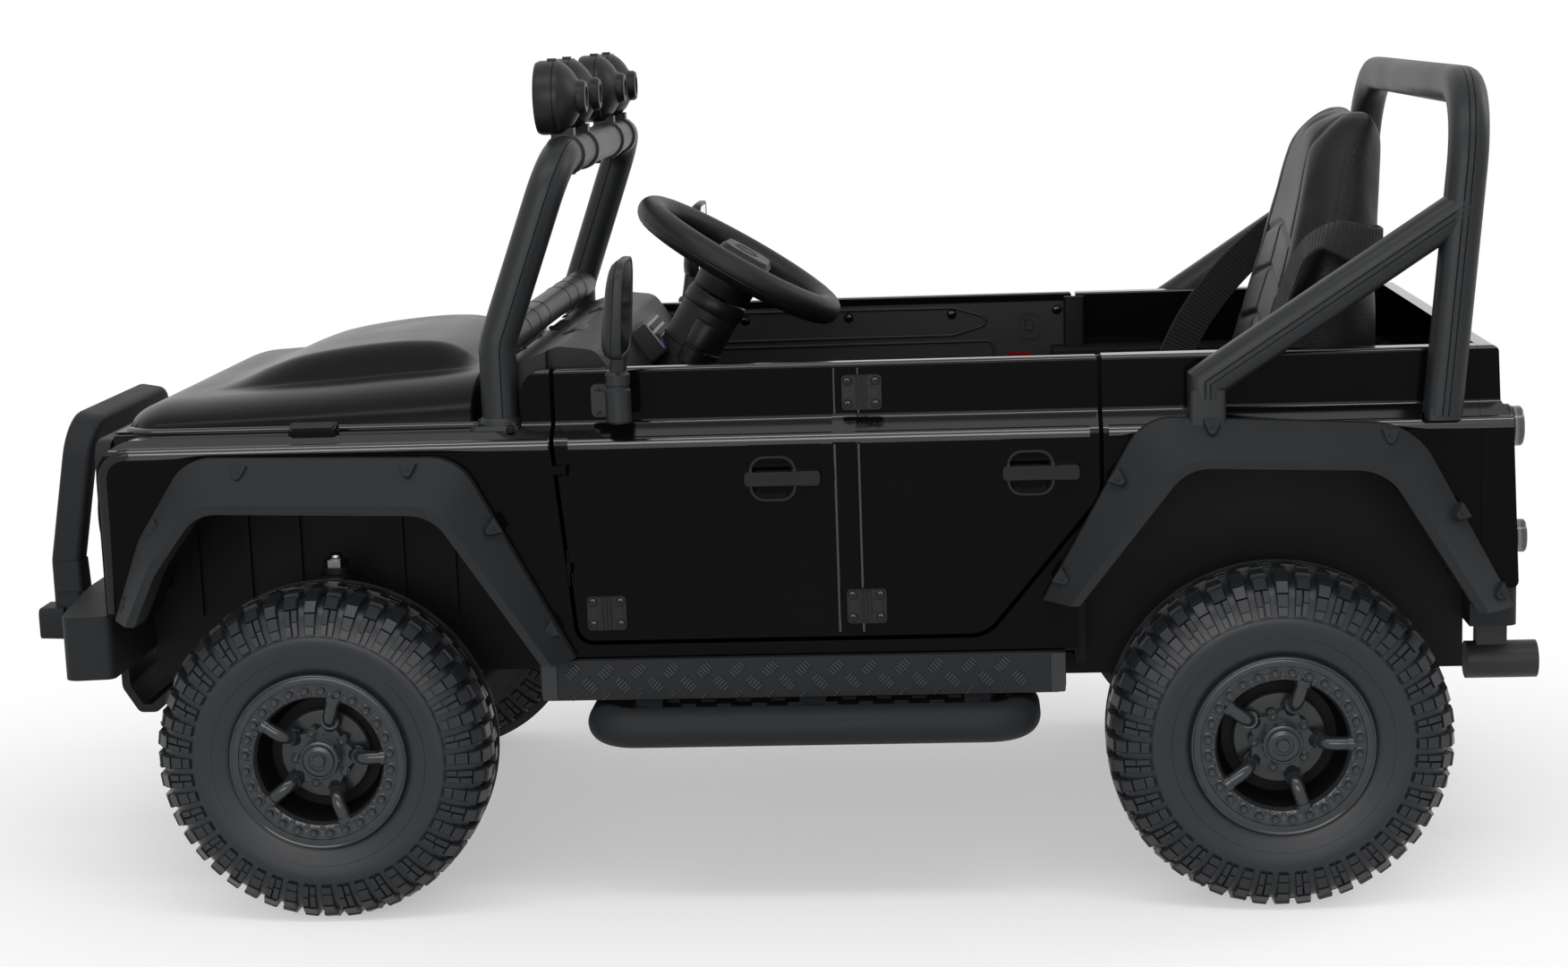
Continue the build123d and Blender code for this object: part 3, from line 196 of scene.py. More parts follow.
class Form:
    """Points and faces of one piece, put together from simple solids; kind picks the material."""

    def __init__(self):
        self.points = []
        self.faces = []
        self.kinds = []

    def add(self, points, faces, kind=0, at=None):
        first = len(self.points)
        self.points += [at @ Vector(p) if at else Vector(p) for p in points]
        self.faces += [[first + i for i in face] for face in faces]
        self.kinds += [kind] * len(faces)

    def skin(self, rings, kind=0, at=None, caps=True, closed=False):
        """Surface through rings of equal length."""
        count, around = len(rings), len(rings[0])
        points = [p for ring in rings for p in ring]
        faces = []
        for i in range(count if closed else count - 1):
            j = (i + 1) % count
            for k in range(around):
                n = (k + 1) % around
                faces.append([i * around + k, i * around + n, j * around + n, j * around + k])
        if caps and not closed:
            faces.append(list(range(around))[::-1])
            faces.append([(count - 1) * around + k for k in range(around)])
        self.add(points, faces, kind, at)

    def turned(self, profile, sides=32, kind=0, at=None, closed=False, caps=True):
        """Profile of (radius, height) turned about local Z."""
        rings = []
        for radius, height in profile:
            rings.append([(x, y, height) for x, y in circle(max(radius, 0.01), sides)])
        self.skin(rings, kind, at, caps, closed)

    def slab(self, outline, low, high, kind=0, at=None, draft=0.0):
        """Outline in local XY pulled from low to high along local Z, drawn in by draft at the top."""
        mid = Vector((sum(p[0] for p in outline), sum(p[1] for p in outline))) / len(outline)
        top = []
        for p in outline:
            away = Vector((p[0], p[1])) - mid
            top.append(mid + away * max(0.0, 1.0 - draft / max(away.length, 0.001)))
        self.skin([[(x, y, low) for x, y in outline], [(x, y, high) for x, y in top]], kind, at)

    def tile(self, width, height, radius, low, high, kind=0, at=None, draft=0.0):
        """Rounded rectangle pulled from low to high along local Z."""
        self.slab(rounded_box(width, height, radius), low, high, kind, at, draft)

    def box(self, low, high, kind=0, at=None):
        (x0, y0, z0), (x1, y1, z1) = low, high
        self.slab([(x0, y0), (x1, y0), (x1, y1), (x0, y1)], z0, z1, kind, at)

    def sweep(self, path, section, kind=0, closed=False, start_up=(0.0, 0.0, 1.0)):
        """Section of (across, up) points carried along a path without twist."""
        path = [Vector(p) for p in path]
        count = len(path)
        rings = []
        up = Vector(start_up)
        for i, point in enumerate(path):
            ahead = path[(i + 1) % count] if closed or i + 1 < count else point
            behind = path[i - 1] if closed or i else point
            along = (ahead - behind).normalized()
            up = (up - along * up.dot(along)).normalized()
            across = along.cross(up)
            rings.append([point + across * a + up * b for a, b in section])
        self.skin(rings, kind, None, True, closed)

    def make(self, name, finishes, body, slot, replaces=(), smooth=40, bevel=0.0):
        """Turn the form into a piece that rides a body and may replace CAD nodes; slot is not used."""
        mesh = bpy.data.meshes.new(name)
        mesh.from_pydata([tuple(p * MM) for p in self.points], [], self.faces)
        for finish in finishes:
            mesh.materials.append(FINISH[finish])
        for polygon, kind in zip(mesh.polygons, self.kinds):
            polygon.material_index = kind
        mesh.update()
        piece = bpy.data.objects.new(name, mesh)
        bpy.context.collection.objects.link(piece)
        tidy_normals(mesh)
        if bevel:
            edge = piece.modifiers.new("edge", "BEVEL")
            edge.width = bevel * MM
            edge.segments = 2
            edge.limit_method = "ANGLE"
            edge.angle_limit = math.radians(38)
        mesh.shade_smooth()
        mesh.set_sharp_from_angle(angle=math.radians(smooth))
        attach(piece, body)
        if replaces:
            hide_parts(*replaces)
        return piece


def tidy_normals(mesh):
    work = bmesh.new()
    work.from_mesh(mesh)
    bmesh.ops.recalc_face_normals(work, faces=work.faces)
    work.to_mesh(mesh)
    work.free()


def circle(radius, sides):
    turn = [2 * math.pi * k / sides for k in range(sides)]
    return [(radius * math.cos(a), radius * math.sin(a)) for a in turn]


def bolt(form, at, radius, height):
    """Domed screw head with a socket in it."""
    form.turned([(radius, 0.0), (radius, height * 0.6), (radius * 0.8, height)], 14, 0, at)
    form.turned([(radius * 0.5, height), (radius * 0.5, height + 0.25), (radius * 0.36, height + 0.1)], 6, 0, at)


# Wheels
TYRE_HALF = size_of("front_tyre_left").y / 2
TYRE_R = size_of("front_tyre_left").z / 2
LUG_PAIRS = 24
# Carcass below the lugs, outer half; columns radius, height from the tyre's outer face
SIDEWALL = [(78.8, -10), (83.5, -6.4), (89, -4.8), (98.4, -2.6), (98.8, -3.1), (106, -1.4), (112, -0.8),
            (115.2, -1.4), (116.8, -3.0)]
SHOULDER = [(117, -4.2), (131, -8.5), (141, -15), (146.5, -24), (148, -TYRE_HALF)]
# Lug rows; columns offset in pitches, start and end along the shoulder, width as a share of a pitch, height
LUGS = [
    (0.0, 1.0, 8.2, 0.30, 2.8), (0.0, 9.2, 19.5, 0.31, 3.6), (0.0, 20.5, 30.5, 0.33, 5.2),
    (0.0, 31.8, 47, 0.36, 7.2), (0.405, 1.0, 13, 0.165, 2.6), (0.595, 1.0, 10, 0.165, 2.6),
    (0.405, 14, 24, 0.17, 3.4), (0.595, 11, 24, 0.17, 3.4), (0.5, 25, 36.5, 0.36, 5.2),
    (0.5, 37.8, 54, 0.36, 7.2), (0.0, 50, 61, 0.36, 7.0), (0.25, 56.5, 62, 0.2, 6.6),
]


def along_shoulder(distance):
    """Point and outward normal, as radius and height from the face, at a distance along the shoulder."""
    left = distance
    for (r0, h0), (r1, h1) in zip(SHOULDER, SHOULDER[1:]):
        length = math.hypot(r1 - r0, h1 - h0)
        if left <= length or (r1, h1) == SHOULDER[-1]:
            share = min(left / length, 1.0)
            normal = Vector((-(h1 - h0), r1 - r0)).normalized()
            return Vector((r0 + (r1 - r0) * share, h0 + (h1 - h0) * share)), normal
        left -= length


def tyre_form(at):
    form = Form()
    outer = [(r, TYRE_HALF + h) for r, h in SIDEWALL + SHOULDER]
    profile = outer + [(r, -h) for r, h in outer[::-1][1:]]
    form.turned(profile, 184, 0, at, closed=True)
    pitch = 2 * math.pi / LUG_PAIRS
    for face in (1.0, -1.0):
        for offset, start, end, share, height in LUGS:
            ends = [along_shoulder(start), along_shoulder((start + end) / 2), along_shoulder(end)]
            for i in range(LUG_PAIRS):
                angle = (i + offset + (0.25 if face < 0 else 0.0)) * pitch
                rings = []
                for lift, narrow in ((-1.0, 1.0), (height * 0.75, 0.94), (height, 0.8)):
                    ring = []
                    for (base, normal), pull in zip(ends, (1.0, 0.0, -1.0)):
                        spot = base + normal * lift
                        inset = pull * (1.0 - narrow) * 2.0
                        half_width = share * pitch * 0.5 * narrow
                        ring.append((spot.x, face * (TYRE_HALF + spot.y - inset * 0.5), angle - half_width,
                                     angle + half_width))
                    loop = [(r, h, a0) for r, h, a0, a1 in ring] + [(r, h, a1) for r, h, a0, a1 in ring[::-1]]
                    rings.append([(r * math.cos(a), r * math.sin(a), h) for r, h, a in loop])
                form.skin(rings, 0, at)
    seam_r = TYRE_R - 1.2
    form.turned([(seam_r - 8, -TYRE_HALF + 13), (seam_r - 8, -TYRE_HALF + 14), (seam_r, -TYRE_HALF + 14),
                 (seam_r, -TYRE_HALF + 13)], 120, 0, at, closed=True)
    return form


RING_BOLTS = 28
SPOKES = 5
RIM_FACE = TYRE_HALF - 1.0
# Tube spokes: in from the ring, then an elbow down to the hub flange; columns radius, height from the rim's face
SPOKE_PATH = [(61.5, -9.2), (54, -9.0), (48, -8.9), (44, -9.3), (41, -10.4), (38.6, -12.2), (36.8, -14.8),
              (35.4, -18), (33.6, -22), (30, -26)]
SPOKE_SEAT = [(57, -9.0), (62, -9.0)]
SPOKE_FOOT = [(35.6, -17.6), (33.6, -22), (30, -26)]


def rim_form(at, turn):
    """Bolted ring, deep dish darkened with painted shade, five tube spokes, lobed hub flange and cap."""
    form = Form()
    depth = RIM_FACE - 42
    form.turned([
        (77.5, -TYRE_HALF + 9), (77.5, RIM_FACE - 9), (82, RIM_FACE - 7), (82, RIM_FACE - 2),
        (81.2, RIM_FACE - 0.8), (80, RIM_FACE - 0.6), (79, RIM_FACE - 1.6),
        (77.8, RIM_FACE - 1.2), (73.5, RIM_FACE - 1.4), (72.8, RIM_FACE - 2.6),
        (64, RIM_FACE - 3.6), (60.5, RIM_FACE - 4.8), (59, RIM_FACE - 7.5),
        (58, RIM_FACE - 10), (56, depth + 6), (52, depth), (24, depth), (20, -22),
        (8, -22), (8, -26), (26, -26), (30, depth - 6), (60, depth - 8),
        (71.5, -TYRE_HALF + 9),
    ], 96, 0, at, closed=True)
    for i in range(RING_BOLTS):
        spot = spin(2 * math.pi * (i + 0.5) / RING_BOLTS) @ shift(67.2, 0.0, RIM_FACE - 3.6)
        form.turned([(5.6, -1.5), (5.6, 0.5), (4.9, 1.1)], 18, 0, at @ spot)
        bolt(form, at @ spot @ shift(0, 0, 1.0), 3.4, 3.0)
        notch = spin(2 * math.pi * i / RING_BOLTS) @ shift(63, 0.0, RIM_FACE - 4.4)
        form.turned([(2.9, -3.0), (2.9, 0.6), (2.2, 1.2)], 12, 0, at @ notch)
    # A darker matte sheet laid over the dish round the hub disc: painted shade in the deep dish.
    form.turned([(57.7, RIM_FACE - 10), (55.6, depth + 6.4), (51.6, depth + 0.5), (30, depth + 0.5)], 96, 1, at,
                caps=False)
    form.turned([(42, depth - 1), (42, depth + 7), (40.5, depth + 8.4), (36, depth + 9), (0.0, depth + 9.6)], 72, 0,
                at)
    flange_z = RIM_FACE - 21
    lobes = []
    for k in range(SPOKES * 8):
        a = 2 * math.pi * k / (SPOKES * 8)
        lobes.append(((29 + 3.2 * math.cos(SPOKES * a)) * math.cos(a + turn),
                      (29 + 3.2 * math.cos(SPOKES * a)) * math.sin(a + turn)))
    form.slab(lobes, depth - 2, flange_z, 0, at, draft=1.5)
    outward = (at.to_3x3() @ Vector((0, 0, 1))).normalized()
    for i in range(SPOKES):
        spoke_turn = at @ spin(turn + 2 * math.pi * i / SPOKES)
        for radius, points in ((6.3, SPOKE_PATH), (7.8, SPOKE_SEAT), (7.9, SPOKE_FOOT)):
            path = [spoke_turn @ Vector((reach, 0.0, RIM_FACE + lift)) for reach, lift in points]
            form.sweep(path, circle(radius, 20), 0, start_up=outward)
        nut = spin(turn + 2 * math.pi * (i + 0.5) / SPOKES) @ shift(24.5, 0, flange_z)
        form.turned([(4.6, -6), (4.6, 1.2), (3.8, 1.8)], 18, 0, at @ nut)
        bolt(form, at @ nut @ shift(0, 0, 1.6), 3.0, 1.6)
    cap = shift(0, 0, flange_z + 3.4)
    form.turned([(18.2, -8), (18.2, 9), (17.4, 10.2), (15.6, 10.6), (15, 9.2), (13.8, 9.2), (13.2, 11.6),
                 (9.6, 12.4), (9.2, 11.4), (0.0, 11.4)], 48, 0, at @ cap)
    form.turned([(6.4, 11), (6.4, 14), (5.6, 15), (0.0, 15.4)], 8, 0, at @ cap)
    for i in range(8):
        slot_turn = spin(2 * math.pi * i / 8)
        form.box((16.2, -1.2, 6), (18.9, 1.2, 9.6), 0, at @ cap @ slot_turn)
    return form


WHEEL_TURN = {"front": math.radians(2.0), "rear": math.radians(0.0)}
for end in ("front", "rear"):
    for side, sign in SIDES:
        hub = facing(middle(f"{end}_tyre_{side}"), (0.0, sign, 0.0))
        body = f"{end}_wheel_{side}"
        tyre_form(hub).make(f"{end}_tread_{side}", ["tyre_black"], body, "tyre_black", [f"{end}_tyre_{side}"],
                            smooth=32)
        rim_form(hub, WHEEL_TURN[end]).make(f"{end}_wheel_face_{side}", ["rim_black", "chassis_black"], body,
                                            "rim_black", [f"{end}_rim_{side}"], smooth=32)


def rounded(points, radius, steps=8):
    """Path through points whose corners are turned into arcs."""
    points = [Vector(p) for p in points]
    path = [points[0]]
    for before, corner, after in zip(points, points[1:], points[2:]):
        back, on = (before - corner).normalized(), (after - corner).normalized()
        half = back.angle(on) / 2
        centre = corner + (back + on).normalized() * (radius / math.sin(half))
        first = corner + back * (radius / math.tan(half)) - centre
        last = corner + on * (radius / math.tan(half)) - centre
        path += [centre + first.slerp(last, k / steps) * radius for k in range(steps + 1)]
    return path + [points[-1]]


def seamed_circle(radius, seams=(), sides=36, depth=0.8, spread=0.04):
    """Round section with fine grooves at the seam angles."""
    angles = [2 * math.pi * k / sides for k in range(sides)]
    angles = [a for a in angles if all(abs(a - s) > spread for s in seams)]
    marks = [(a, radius) for a in angles]
    for s in seams:
        marks += [(s - spread, radius), (s, radius - depth), (s + spread, radius)]
    return [(r * math.cos(a), r * math.sin(a)) for a, r in sorted(marks)]


def rounded_box(width, height, radius, steps=5):
    """Outline of a rounded rectangle about the origin."""
    outline = []
    for turn, (sx, sy) in enumerate(((1, 1), (-1, 1), (-1, -1), (1, -1))):
        for k in range(steps + 1):
            a = math.pi / 2 * (turn + k / steps)
            outline.append((sx * (width / 2 - radius) + radius * math.cos(a),
                            sy * (height / 2 - radius) + radius * math.sin(a)))
    return outline


def grooved_square(size, radius, grooves, depth=0.8, spread=0.7):
    """Rounded square section with fine grooves along its top side."""
    outline = rounded_box(size, size, radius)
    corner = len(outline) // 4
    top = []
    for g in sorted(grooves, reverse=True):
        top += [(g + spread, size / 2), (g, size / 2 - depth), (g - spread, size / 2)]
    return outline[:corner] + top + outline[corner:]


def ring_frame(form, outer, inner, low, high, kind=0, at=None):
    """Flat frame between two outlines of equal length."""
    form.skin([[(x, y, low) for x, y in outer], [(x, y, high) for x, y in outer], [(x, y, high) for x, y in inner],
               [(x, y, low) for x, y in inner]], kind, at, closed=True)


def plate_screw(form, at, radius, kind=0):
    """Pan-head cross screw in a shallow ring."""
    form.turned([(radius * 1.25, -0.4), (radius * 1.25, 0.35), (radius * 1.05, 0.35), (radius * 1.0, -0.1),
                 (radius * 0.92, 1.0), (radius * 0.6, 1.5), (0.0, 1.6)], 20, kind, at)
    for turn in (0.4, 0.4 + math.pi / 2):
        cross = at @ spin(turn)
        form.box((-radius * 0.5, -radius * 0.12, 1.3), (radius * 0.5, radius * 0.12, 1.75), kind, cross)


# Tube frames: windscreen hoop, roll hoop with braces
SCREEN_R = 17
SCREEN_FOOT = (228, 272, 448)
SCREEN_KNEE = (228, 272, 524)
SCREEN_TOP = (168, 262, 690)
CROSS_X, CROSS_Z = 224, 527


def other_side(point):
    x, y, z = point
    return x, -y, z


screen = Form()
screen_path = [SCREEN_FOOT, SCREEN_KNEE, SCREEN_TOP, other_side(SCREEN_TOP), other_side(SCREEN_KNEE),
               other_side(SCREEN_FOOT)]
screen.sweep(rounded(screen_path, 41, 10), seamed_circle(SCREEN_R, (math.radians(75), math.radians(255))),
             start_up=(0, 1, 0))
bar_ends = [(CROSS_X, y, CROSS_Z) for y in (270, 120, -120, -270)]
screen.sweep(bar_ends, seamed_circle(15, (math.radians(60),)))
for y in (-190, -130, -70, 70, 130, 190):
    screen.sweep([(CROSS_X, y - 0.8, CROSS_Z), (CROSS_X, y + 0.8, CROSS_Z)], circle(15.5, 30))
for side, sign in SIDES:
    foot = facing((231, sign * 273, 447), (0, 0, 1), (1, 0, 0))
    screen.tile(40, 46, 6, 0.2, 4.5, 0, foot, draft=0.6)
    screen.turned([(21, 4), (20, 8), (17.5, 11)], 28, 0, facing((228, sign * 272, 447), (0, 0, 1)))
    for dx, dy in ((17, 14), (17, -14), (-17, 14), (-17, -14)):
        bolt(screen, foot @ shift(dy, dx, 4.4), 3.6, 2.6)
screen.make("screen_tubes", ["frame_black"], "chassis", "frame_black", ["windscreen_frame"], smooth=30)

HOOP_SIZE = 34
HOOP_FOOT = (-614, 304, 444)
HOOP_TOP = (-640, 304, 728)
BRACE_FOOT = (-408, 304, 442)
BRACE_KNEE = (-408, 304, 478)
BRACE_TOP = (-634, 304, 627)
tube_outline = grooved_square(HOOP_SIZE, 13.5, (-2.6, 2.6))
brace_outline = grooved_square(HOOP_SIZE - 0.4, 13, (-2.4, 2.4))
hoop = Form()
hoop.sweep(rounded([HOOP_FOOT, HOOP_TOP, other_side(HOOP_TOP), other_side(HOOP_FOOT)], 70, 12), tube_outline,
           start_up=(0, 1, 0))
for side, sign in SIDES:
    knee, top = [Vector((x, sign * y, z)) for x, y, z in (BRACE_KNEE, BRACE_TOP)]
    along, down = (top - knee).normalized(), Vector((0, 0, -1))
    mitre = (along - down).normalized()
    out = Vector((0, sign, 0))
    cut = []
    for a, b in brace_outline:
        spot = knee + along.cross(out) * a + out * b
        cut.append(spot - along * ((spot - knee).dot(mitre) / along.dot(mitre)))
    hoop.skin([[Vector((p.x, p.y, knee.z - 14)) for p in cut], cut,
               [p + along * ((top - p).dot(along)) for p in cut]])
    for (x, y, z), size, top_z in ((BRACE_FOOT, 33, 472), (HOOP_FOOT, 30, 452)):
        at = facing((x, sign * y, z), (0, 0, 1))
        hoop.tile(size, size, 5, -4, top_z - z, 0, at, draft=0.6)
hoop.make("hoop_tubes", ["frame_black"], "chassis", "frame_black", ["roll_hoop"], smooth=30)

# Roof lamps: bell-shaped housings with clear fronts, on straps round the top bar
LAMP_R = 34
LAMP_BACK, LAMP_Z = 146, 742
lamps = Form()
for y in (-196, -98, 98, 196):
    at = facing((LAMP_BACK, y, LAMP_Z), (1, 0, 0))
    lamps.turned([(0.0, 2), (9, 2), (9.5, 0), (14, 0.5), (15.5, 3), (15.8, 7.5), (18, 9), (23, 12), (29, 17.5),
                  (32.5, 22.5), (33, 23.6), (LAMP_R, 24), (LAMP_R, 27.6), (33.3, 28), (LAMP_R, 28.4), (LAMP_R, 42),
                  (32.5, 45.5), (30.5, 46), (29, 43.5), (24, 36), (0.0, 31)], 44, 0, at)
    lamps.turned([(28.6, 36.2), (20, 33.5), (8, 32.2), (0.0, 32)], 36, 1, at, caps=False)
    lamps.turned([(29.2, 41), (29.2, 43.5), (18, 45.3), (0.0, 46)], 36, 2, at)
    lamps.box((-3, LAMP_R - 2, 27), (3, LAMP_R + 1.8, 35), 0, at)
    strap = facing((SCREEN_TOP[0], y, SCREEN_TOP[2]), (0, 1, 0))
    lamps.turned([(17.2, -9), (19.4, -8.6), (19.4, 8.6), (17.2, 9)], 36, 0, strap)
    lamps.box((-12, 14, -7), (9, 24, 7), 0, strap)
    lamps.box((-14, -24, -5), (-6, -14, 5), 0, strap)
lamps.make("roof_lamp_units", ["lamp_black", "chrome", "lamp_lens"], "chassis", "lamp_black", ["roof_lamps"],
           smooth=34)

# Kingpin tops: dark cups round the nuts, domed ends
KINGPIN = (400, 225, 306)
for side, sign in SIDES:
    pin = Form()
    at = shift(KINGPIN[0], sign * KINGPIN[1], KINGPIN[2])
    pin.turned([(9, -2), (16, -2), (16, 0), (12.8, 0.8), (12.8, 6.5), (11, 7)], 36, 1, at)
    pin.turned([(9.4, 13.6), (9.4, 15), (6.6, 15.6), (6.2, 18), (4.6, 19.4), (0.0, 19.8)], 36, 0, at)
    pin.make(f"kingpin_top_{side}", ["steel", "lamp_black"], f"knuckle_{side}", "steel", smooth=34)

# Steering wheel: grip with a parting line, padded hub, spokes with blank buttons
STEER_TILT = math.radians(31.3)
STEER_R = 100
steer_axis = Vector((-math.sin(STEER_TILT), 0, math.cos(STEER_TILT)))
steer_at = shift(27, 0, 571) @ Matrix(
    (Vector((0, 1, 0)), steer_axis.cross(Vector((0, 1, 0))), steer_axis)).transposed().to_4x4()
steer = Form()
grip = [steer_at @ Vector((x, y, 0)) for x, y in circle(STEER_R, 84)]
steer.sweep(grip, seamed_circle(14, (math.radians(200), math.radians(340)), 26, 0.7, 0.05), closed=True,
            start_up=steer_axis)
for turn in (60, 120, 240, 300):
    spot = steer_at @ spin(math.radians(turn)) @ shift(STEER_R, 0, 0) @ Matrix.Rotation(math.pi / 2, 4, "X")
    steer.turned([(13.4, -0.9), (14.15, -0.6), (14.15, 0.6), (13.4, 0.9)], 26, 0, spot)
pad_at = steer_at @ shift(0, 4, 0)
steer.tile(84, 66, 17, -20, -3, 0, pad_at, draft=3)
steer.tile(74, 56, 15, -4, 6, 0, pad_at, draft=1)
steer.tile(72, 54, 15, 5, 11.5, 0, pad_at, draft=5)
ring_frame(steer, circle(13, 28), circle(11, 28), 11, 12.3, 0, steer_at @ shift(0, 2, 0))
for turn in (0, 90, 180):
    arm = steer_at @ spin(math.radians(turn))
    steer.slab([(30, -17), (92, -11), (92, 11), (30, 17)], -10, -1, 0, arm, draft=1.6)
    if turn != 90:
        for dx in (50, 64):
            steer.tile(11, 15, 2, -1.5, 1.4, 1, arm @ shift(dx, 0, 0), draft=0.8)
steer.turned([(24, -40.6), (28.6, -40), (29.4, -38.5), (31, -18)], 44, 0, steer_at)
steer.turned([(8, -100), (8, -38)], 20, 0, steer_at)
steer.make("steering_grip", ["wheel_black", "dash_black"], "steering", "wheel_black", ["steering_wheel"], smooth=34,
           bevel=0.6)

# Doors: handles in bezels, creases, hinge plates with four screws. Handles; columns x of the bar, x of the cup
HANDLES = ((-30, -21), (-261, -252))
CREASES = (-77.5, -99)
DOOR_Y, UPPER_Y, TRIM_Y = 305, 286, 264
HANDLE_Z = 400
# Ribs on the inner trim; columns x, z
TRIM_RIBS = (((150, 457), (-183, 458), (-234, 473), (-184, 488), (150, 489)),
             ((150, 450), (-226, 451), (-232, 400), (-180, 320), (120, 300)))
BELT_Y, BELT_Z, BELT_R = 299.8, 434.4, 6.6
# Mirror: middle of the glass, rings of the head; columns share of its depth from the glass, width
MIRROR_MID = (97.2, 357, 563)
MIRROR_RINGS = ((1.0, 60), (0.94, 69), (0.8, 79), (0.56, 85), (0.48, 86), (0.46, 85), (0.44, 86), (0.12, 86),
                (0.02, 85), (0.0, 82), (0.02, 79), (0.08, 78))
# Hinge plates; columns x, z, y of the face
HINGE_PLATES = ((134, 280, 305), (-102.5, 282, 305.8), (-102.5, 474, 286.8))
for side, sign in SIDES:
    out = (0, sign, 0)
    fittings = Form()
    for bar_x, cup_x in HANDLES:
        cup = facing((cup_x, sign * DOOR_Y, HANDLE_Z), out)
        ring_frame(fittings, rounded_box(42, 41, 13), rounded_box(38, 37, 12), -1, 1.1, 1, cup)
        bar = facing((bar_x, sign * DOOR_Y, HANDLE_Z + 1), out)
        fittings.tile(70, 13, 3.5, 0.0, 8.4, 1, bar, draft=1.0)
        ring_frame(fittings, rounded_box(46, 9.5, 2), rounded_box(44.6, 8.1, 1.6), 7.6, 8.9, 1,
                   bar @ shift(-sign * 10, 0, 0))
        key = bar @ shift(sign * 24, 0, 0)
        fittings.tile(20, 14.4, 2.5, 0.0, 8.9, 1, key, draft=0.8)
        ring_frame(fittings, rounded_box(13, 8, 1.5), rounded_box(11.4, 6.4, 1.2), 8.4, 9.3, 1, key)
    for x, z, y in HINGE_PLATES:
        plate = facing((x, sign * y, z), out)
        fittings.tile(37, 32.5, 4, -0.5, 3.4, 0, plate, draft=0.8)
        ring_frame(fittings, rounded_box(34.4, 30, 3.4), rounded_box(33.4, 29, 3), 3.0, 3.9, 0, plate)
        for dx, wide, tall in ((-4.6, 2.2, 5.6), (-0.6, 1.6, 5.0), (2.8, 2.2, 5.6)):
            fittings.tile(wide, 31, 0.8, 2.8, tall, 1, plate @ shift(dx * sign, 0, 0), draft=0.3)
        ring_frame(fittings, rounded_box(11, 12, 2), rounded_box(9.6, 10.6, 1.4), 3.0, 4.4, 0,
                   plate @ shift(9.5 * sign, 0, 0))
        for dx in (-12.6, 12.6):
            for dz in (-10.4, 10.4):
                plate_screw(fittings, plate @ shift(dx, dz, 3.4), 3.9, 1)
    fittings.make(f"door_hardware_{side}", ["lamp_black", "gloss_trim"], f"door_{side}", "frame_black",
                  [f"door_fittings_{side}"], smooth=34)

    # The door's belt bead and crease lines take the extra-reflective body gloss: a painted highlight along them.
    edges = Form()
    edges.sweep([(163, sign * BELT_Y, BELT_Z), (-305, sign * BELT_Y, BELT_Z)], circle(BELT_R, 24))
    for x in CREASES:
        edges.sweep([(x, sign * 305.2, 258), (x, sign * 305.2, 430)], circle(1.5, 10), start_up=(0, 1, 0))
        edges.sweep([(x, sign * 286.2, 455), (x, sign * 286.2, 496)], circle(1.2, 10), start_up=(0, 1, 0))
    edges.make(f"door_edges_{side}", ["edge_highlight_gloss"], f"door_{side}", "gloss_black", smooth=50)

    mirror = Form()
    mirror_rings = []
    for depth, wide in MIRROR_RINGS:
        ring = []
        for a, b in rounded_box(wide, wide, 20 * wide / 86):
            glass_x = MIRROR_MID[0] - 0.06 * b
            ring.append((glass_x + depth * (17 - 0.075 * b), sign * (MIRROR_MID[1] + a), MIRROR_MID[2] + b))
        mirror_rings.append(ring)
    mirror.skin(mirror_rings, 0)
    mirror.skin([[(x + lift, y, z) for x, y, z in mirror_rings[-1]] for lift in (0.2, -0.6)], 1)
    post = facing((113, sign * 322, 457), (0, 0, 1))
    mirror.turned([(10, -0.5), (11.5, 1.5), (11.5, 29), (10.2, 30.5), (10.2, 33), (11.2, 34), (11.2, 43), (9, 46)],
                  32, 0, post)
    mirror.sweep([(113, sign * 322, 498), (111, sign * 325, 511), (109, sign * 329, 526)], circle(7.6, 24), 0,
                 start_up=(1, 0, 0))
    leaf = facing((129, sign * UPPER_Y, 472.5), out)
    mirror.tile(27, 31, 5, 0.0, 4.6, 0, leaf, draft=0.8)
    mirror.box((-15, -9, 2), (15, 9, 9), 0, facing((122, sign * UPPER_Y, 472.5), out))
    mirror.tile(22, 17, 3, 0.0, 36, 0, facing((117, sign * UPPER_Y, 472), out), draft=1)
    for dz in (-10.5, 10.5):
        plate_screw(mirror, facing((136, sign * 290.4, 472.5 + dz), out), 2.7)
    mirror.make(f"mirror_unit_{side}", ["frame_black", "chrome"], f"door_{side}", "lamp_black", [f"mirror_{side}"],
                smooth=34)

    # Inner trim: ribbed panel lines, screws, latch recess and a small red reflector on the rear end
    trim = Form()
    inward = (0, -sign, 0)
    for x, z in ((150, 480), (45, 480), (-69, 480), (-182, 481), (-297, 483), (120, 300), (-80, 280), (-240, 400)):
        plate_screw(trim, facing((x, sign * TRIM_Y, z), inward), 4.4, 2)
    for line in TRIM_RIBS:
        trim.sweep(rounded([(x, sign * TRIM_Y, z) for x, z in line], 6, 4), rounded_box(3.4, 4.4, 1.4),
                   start_up=(0, 1, 0))
    ring_frame(trim, rounded_box(22, 29, 5), rounded_box(18, 25, 4), -0.5, 2.4, 0,
               facing((-266, sign * TRIM_Y, 467), inward))
    trim.tile(9, 12, 2.5, -0.5, 3.0, 0, facing((-266, sign * TRIM_Y, 467), inward), draft=1)
    trim.tile(26, 9, 3, -0.5, 2.4, 1, facing((-256, sign * TRIM_Y, 433), inward), draft=0.6)
    trim.make(f"door_trim_detail_{side}", ["dash_black", "red_lens", "gloss_trim"], f"door_{side}", "dash_black",
              smooth=34)

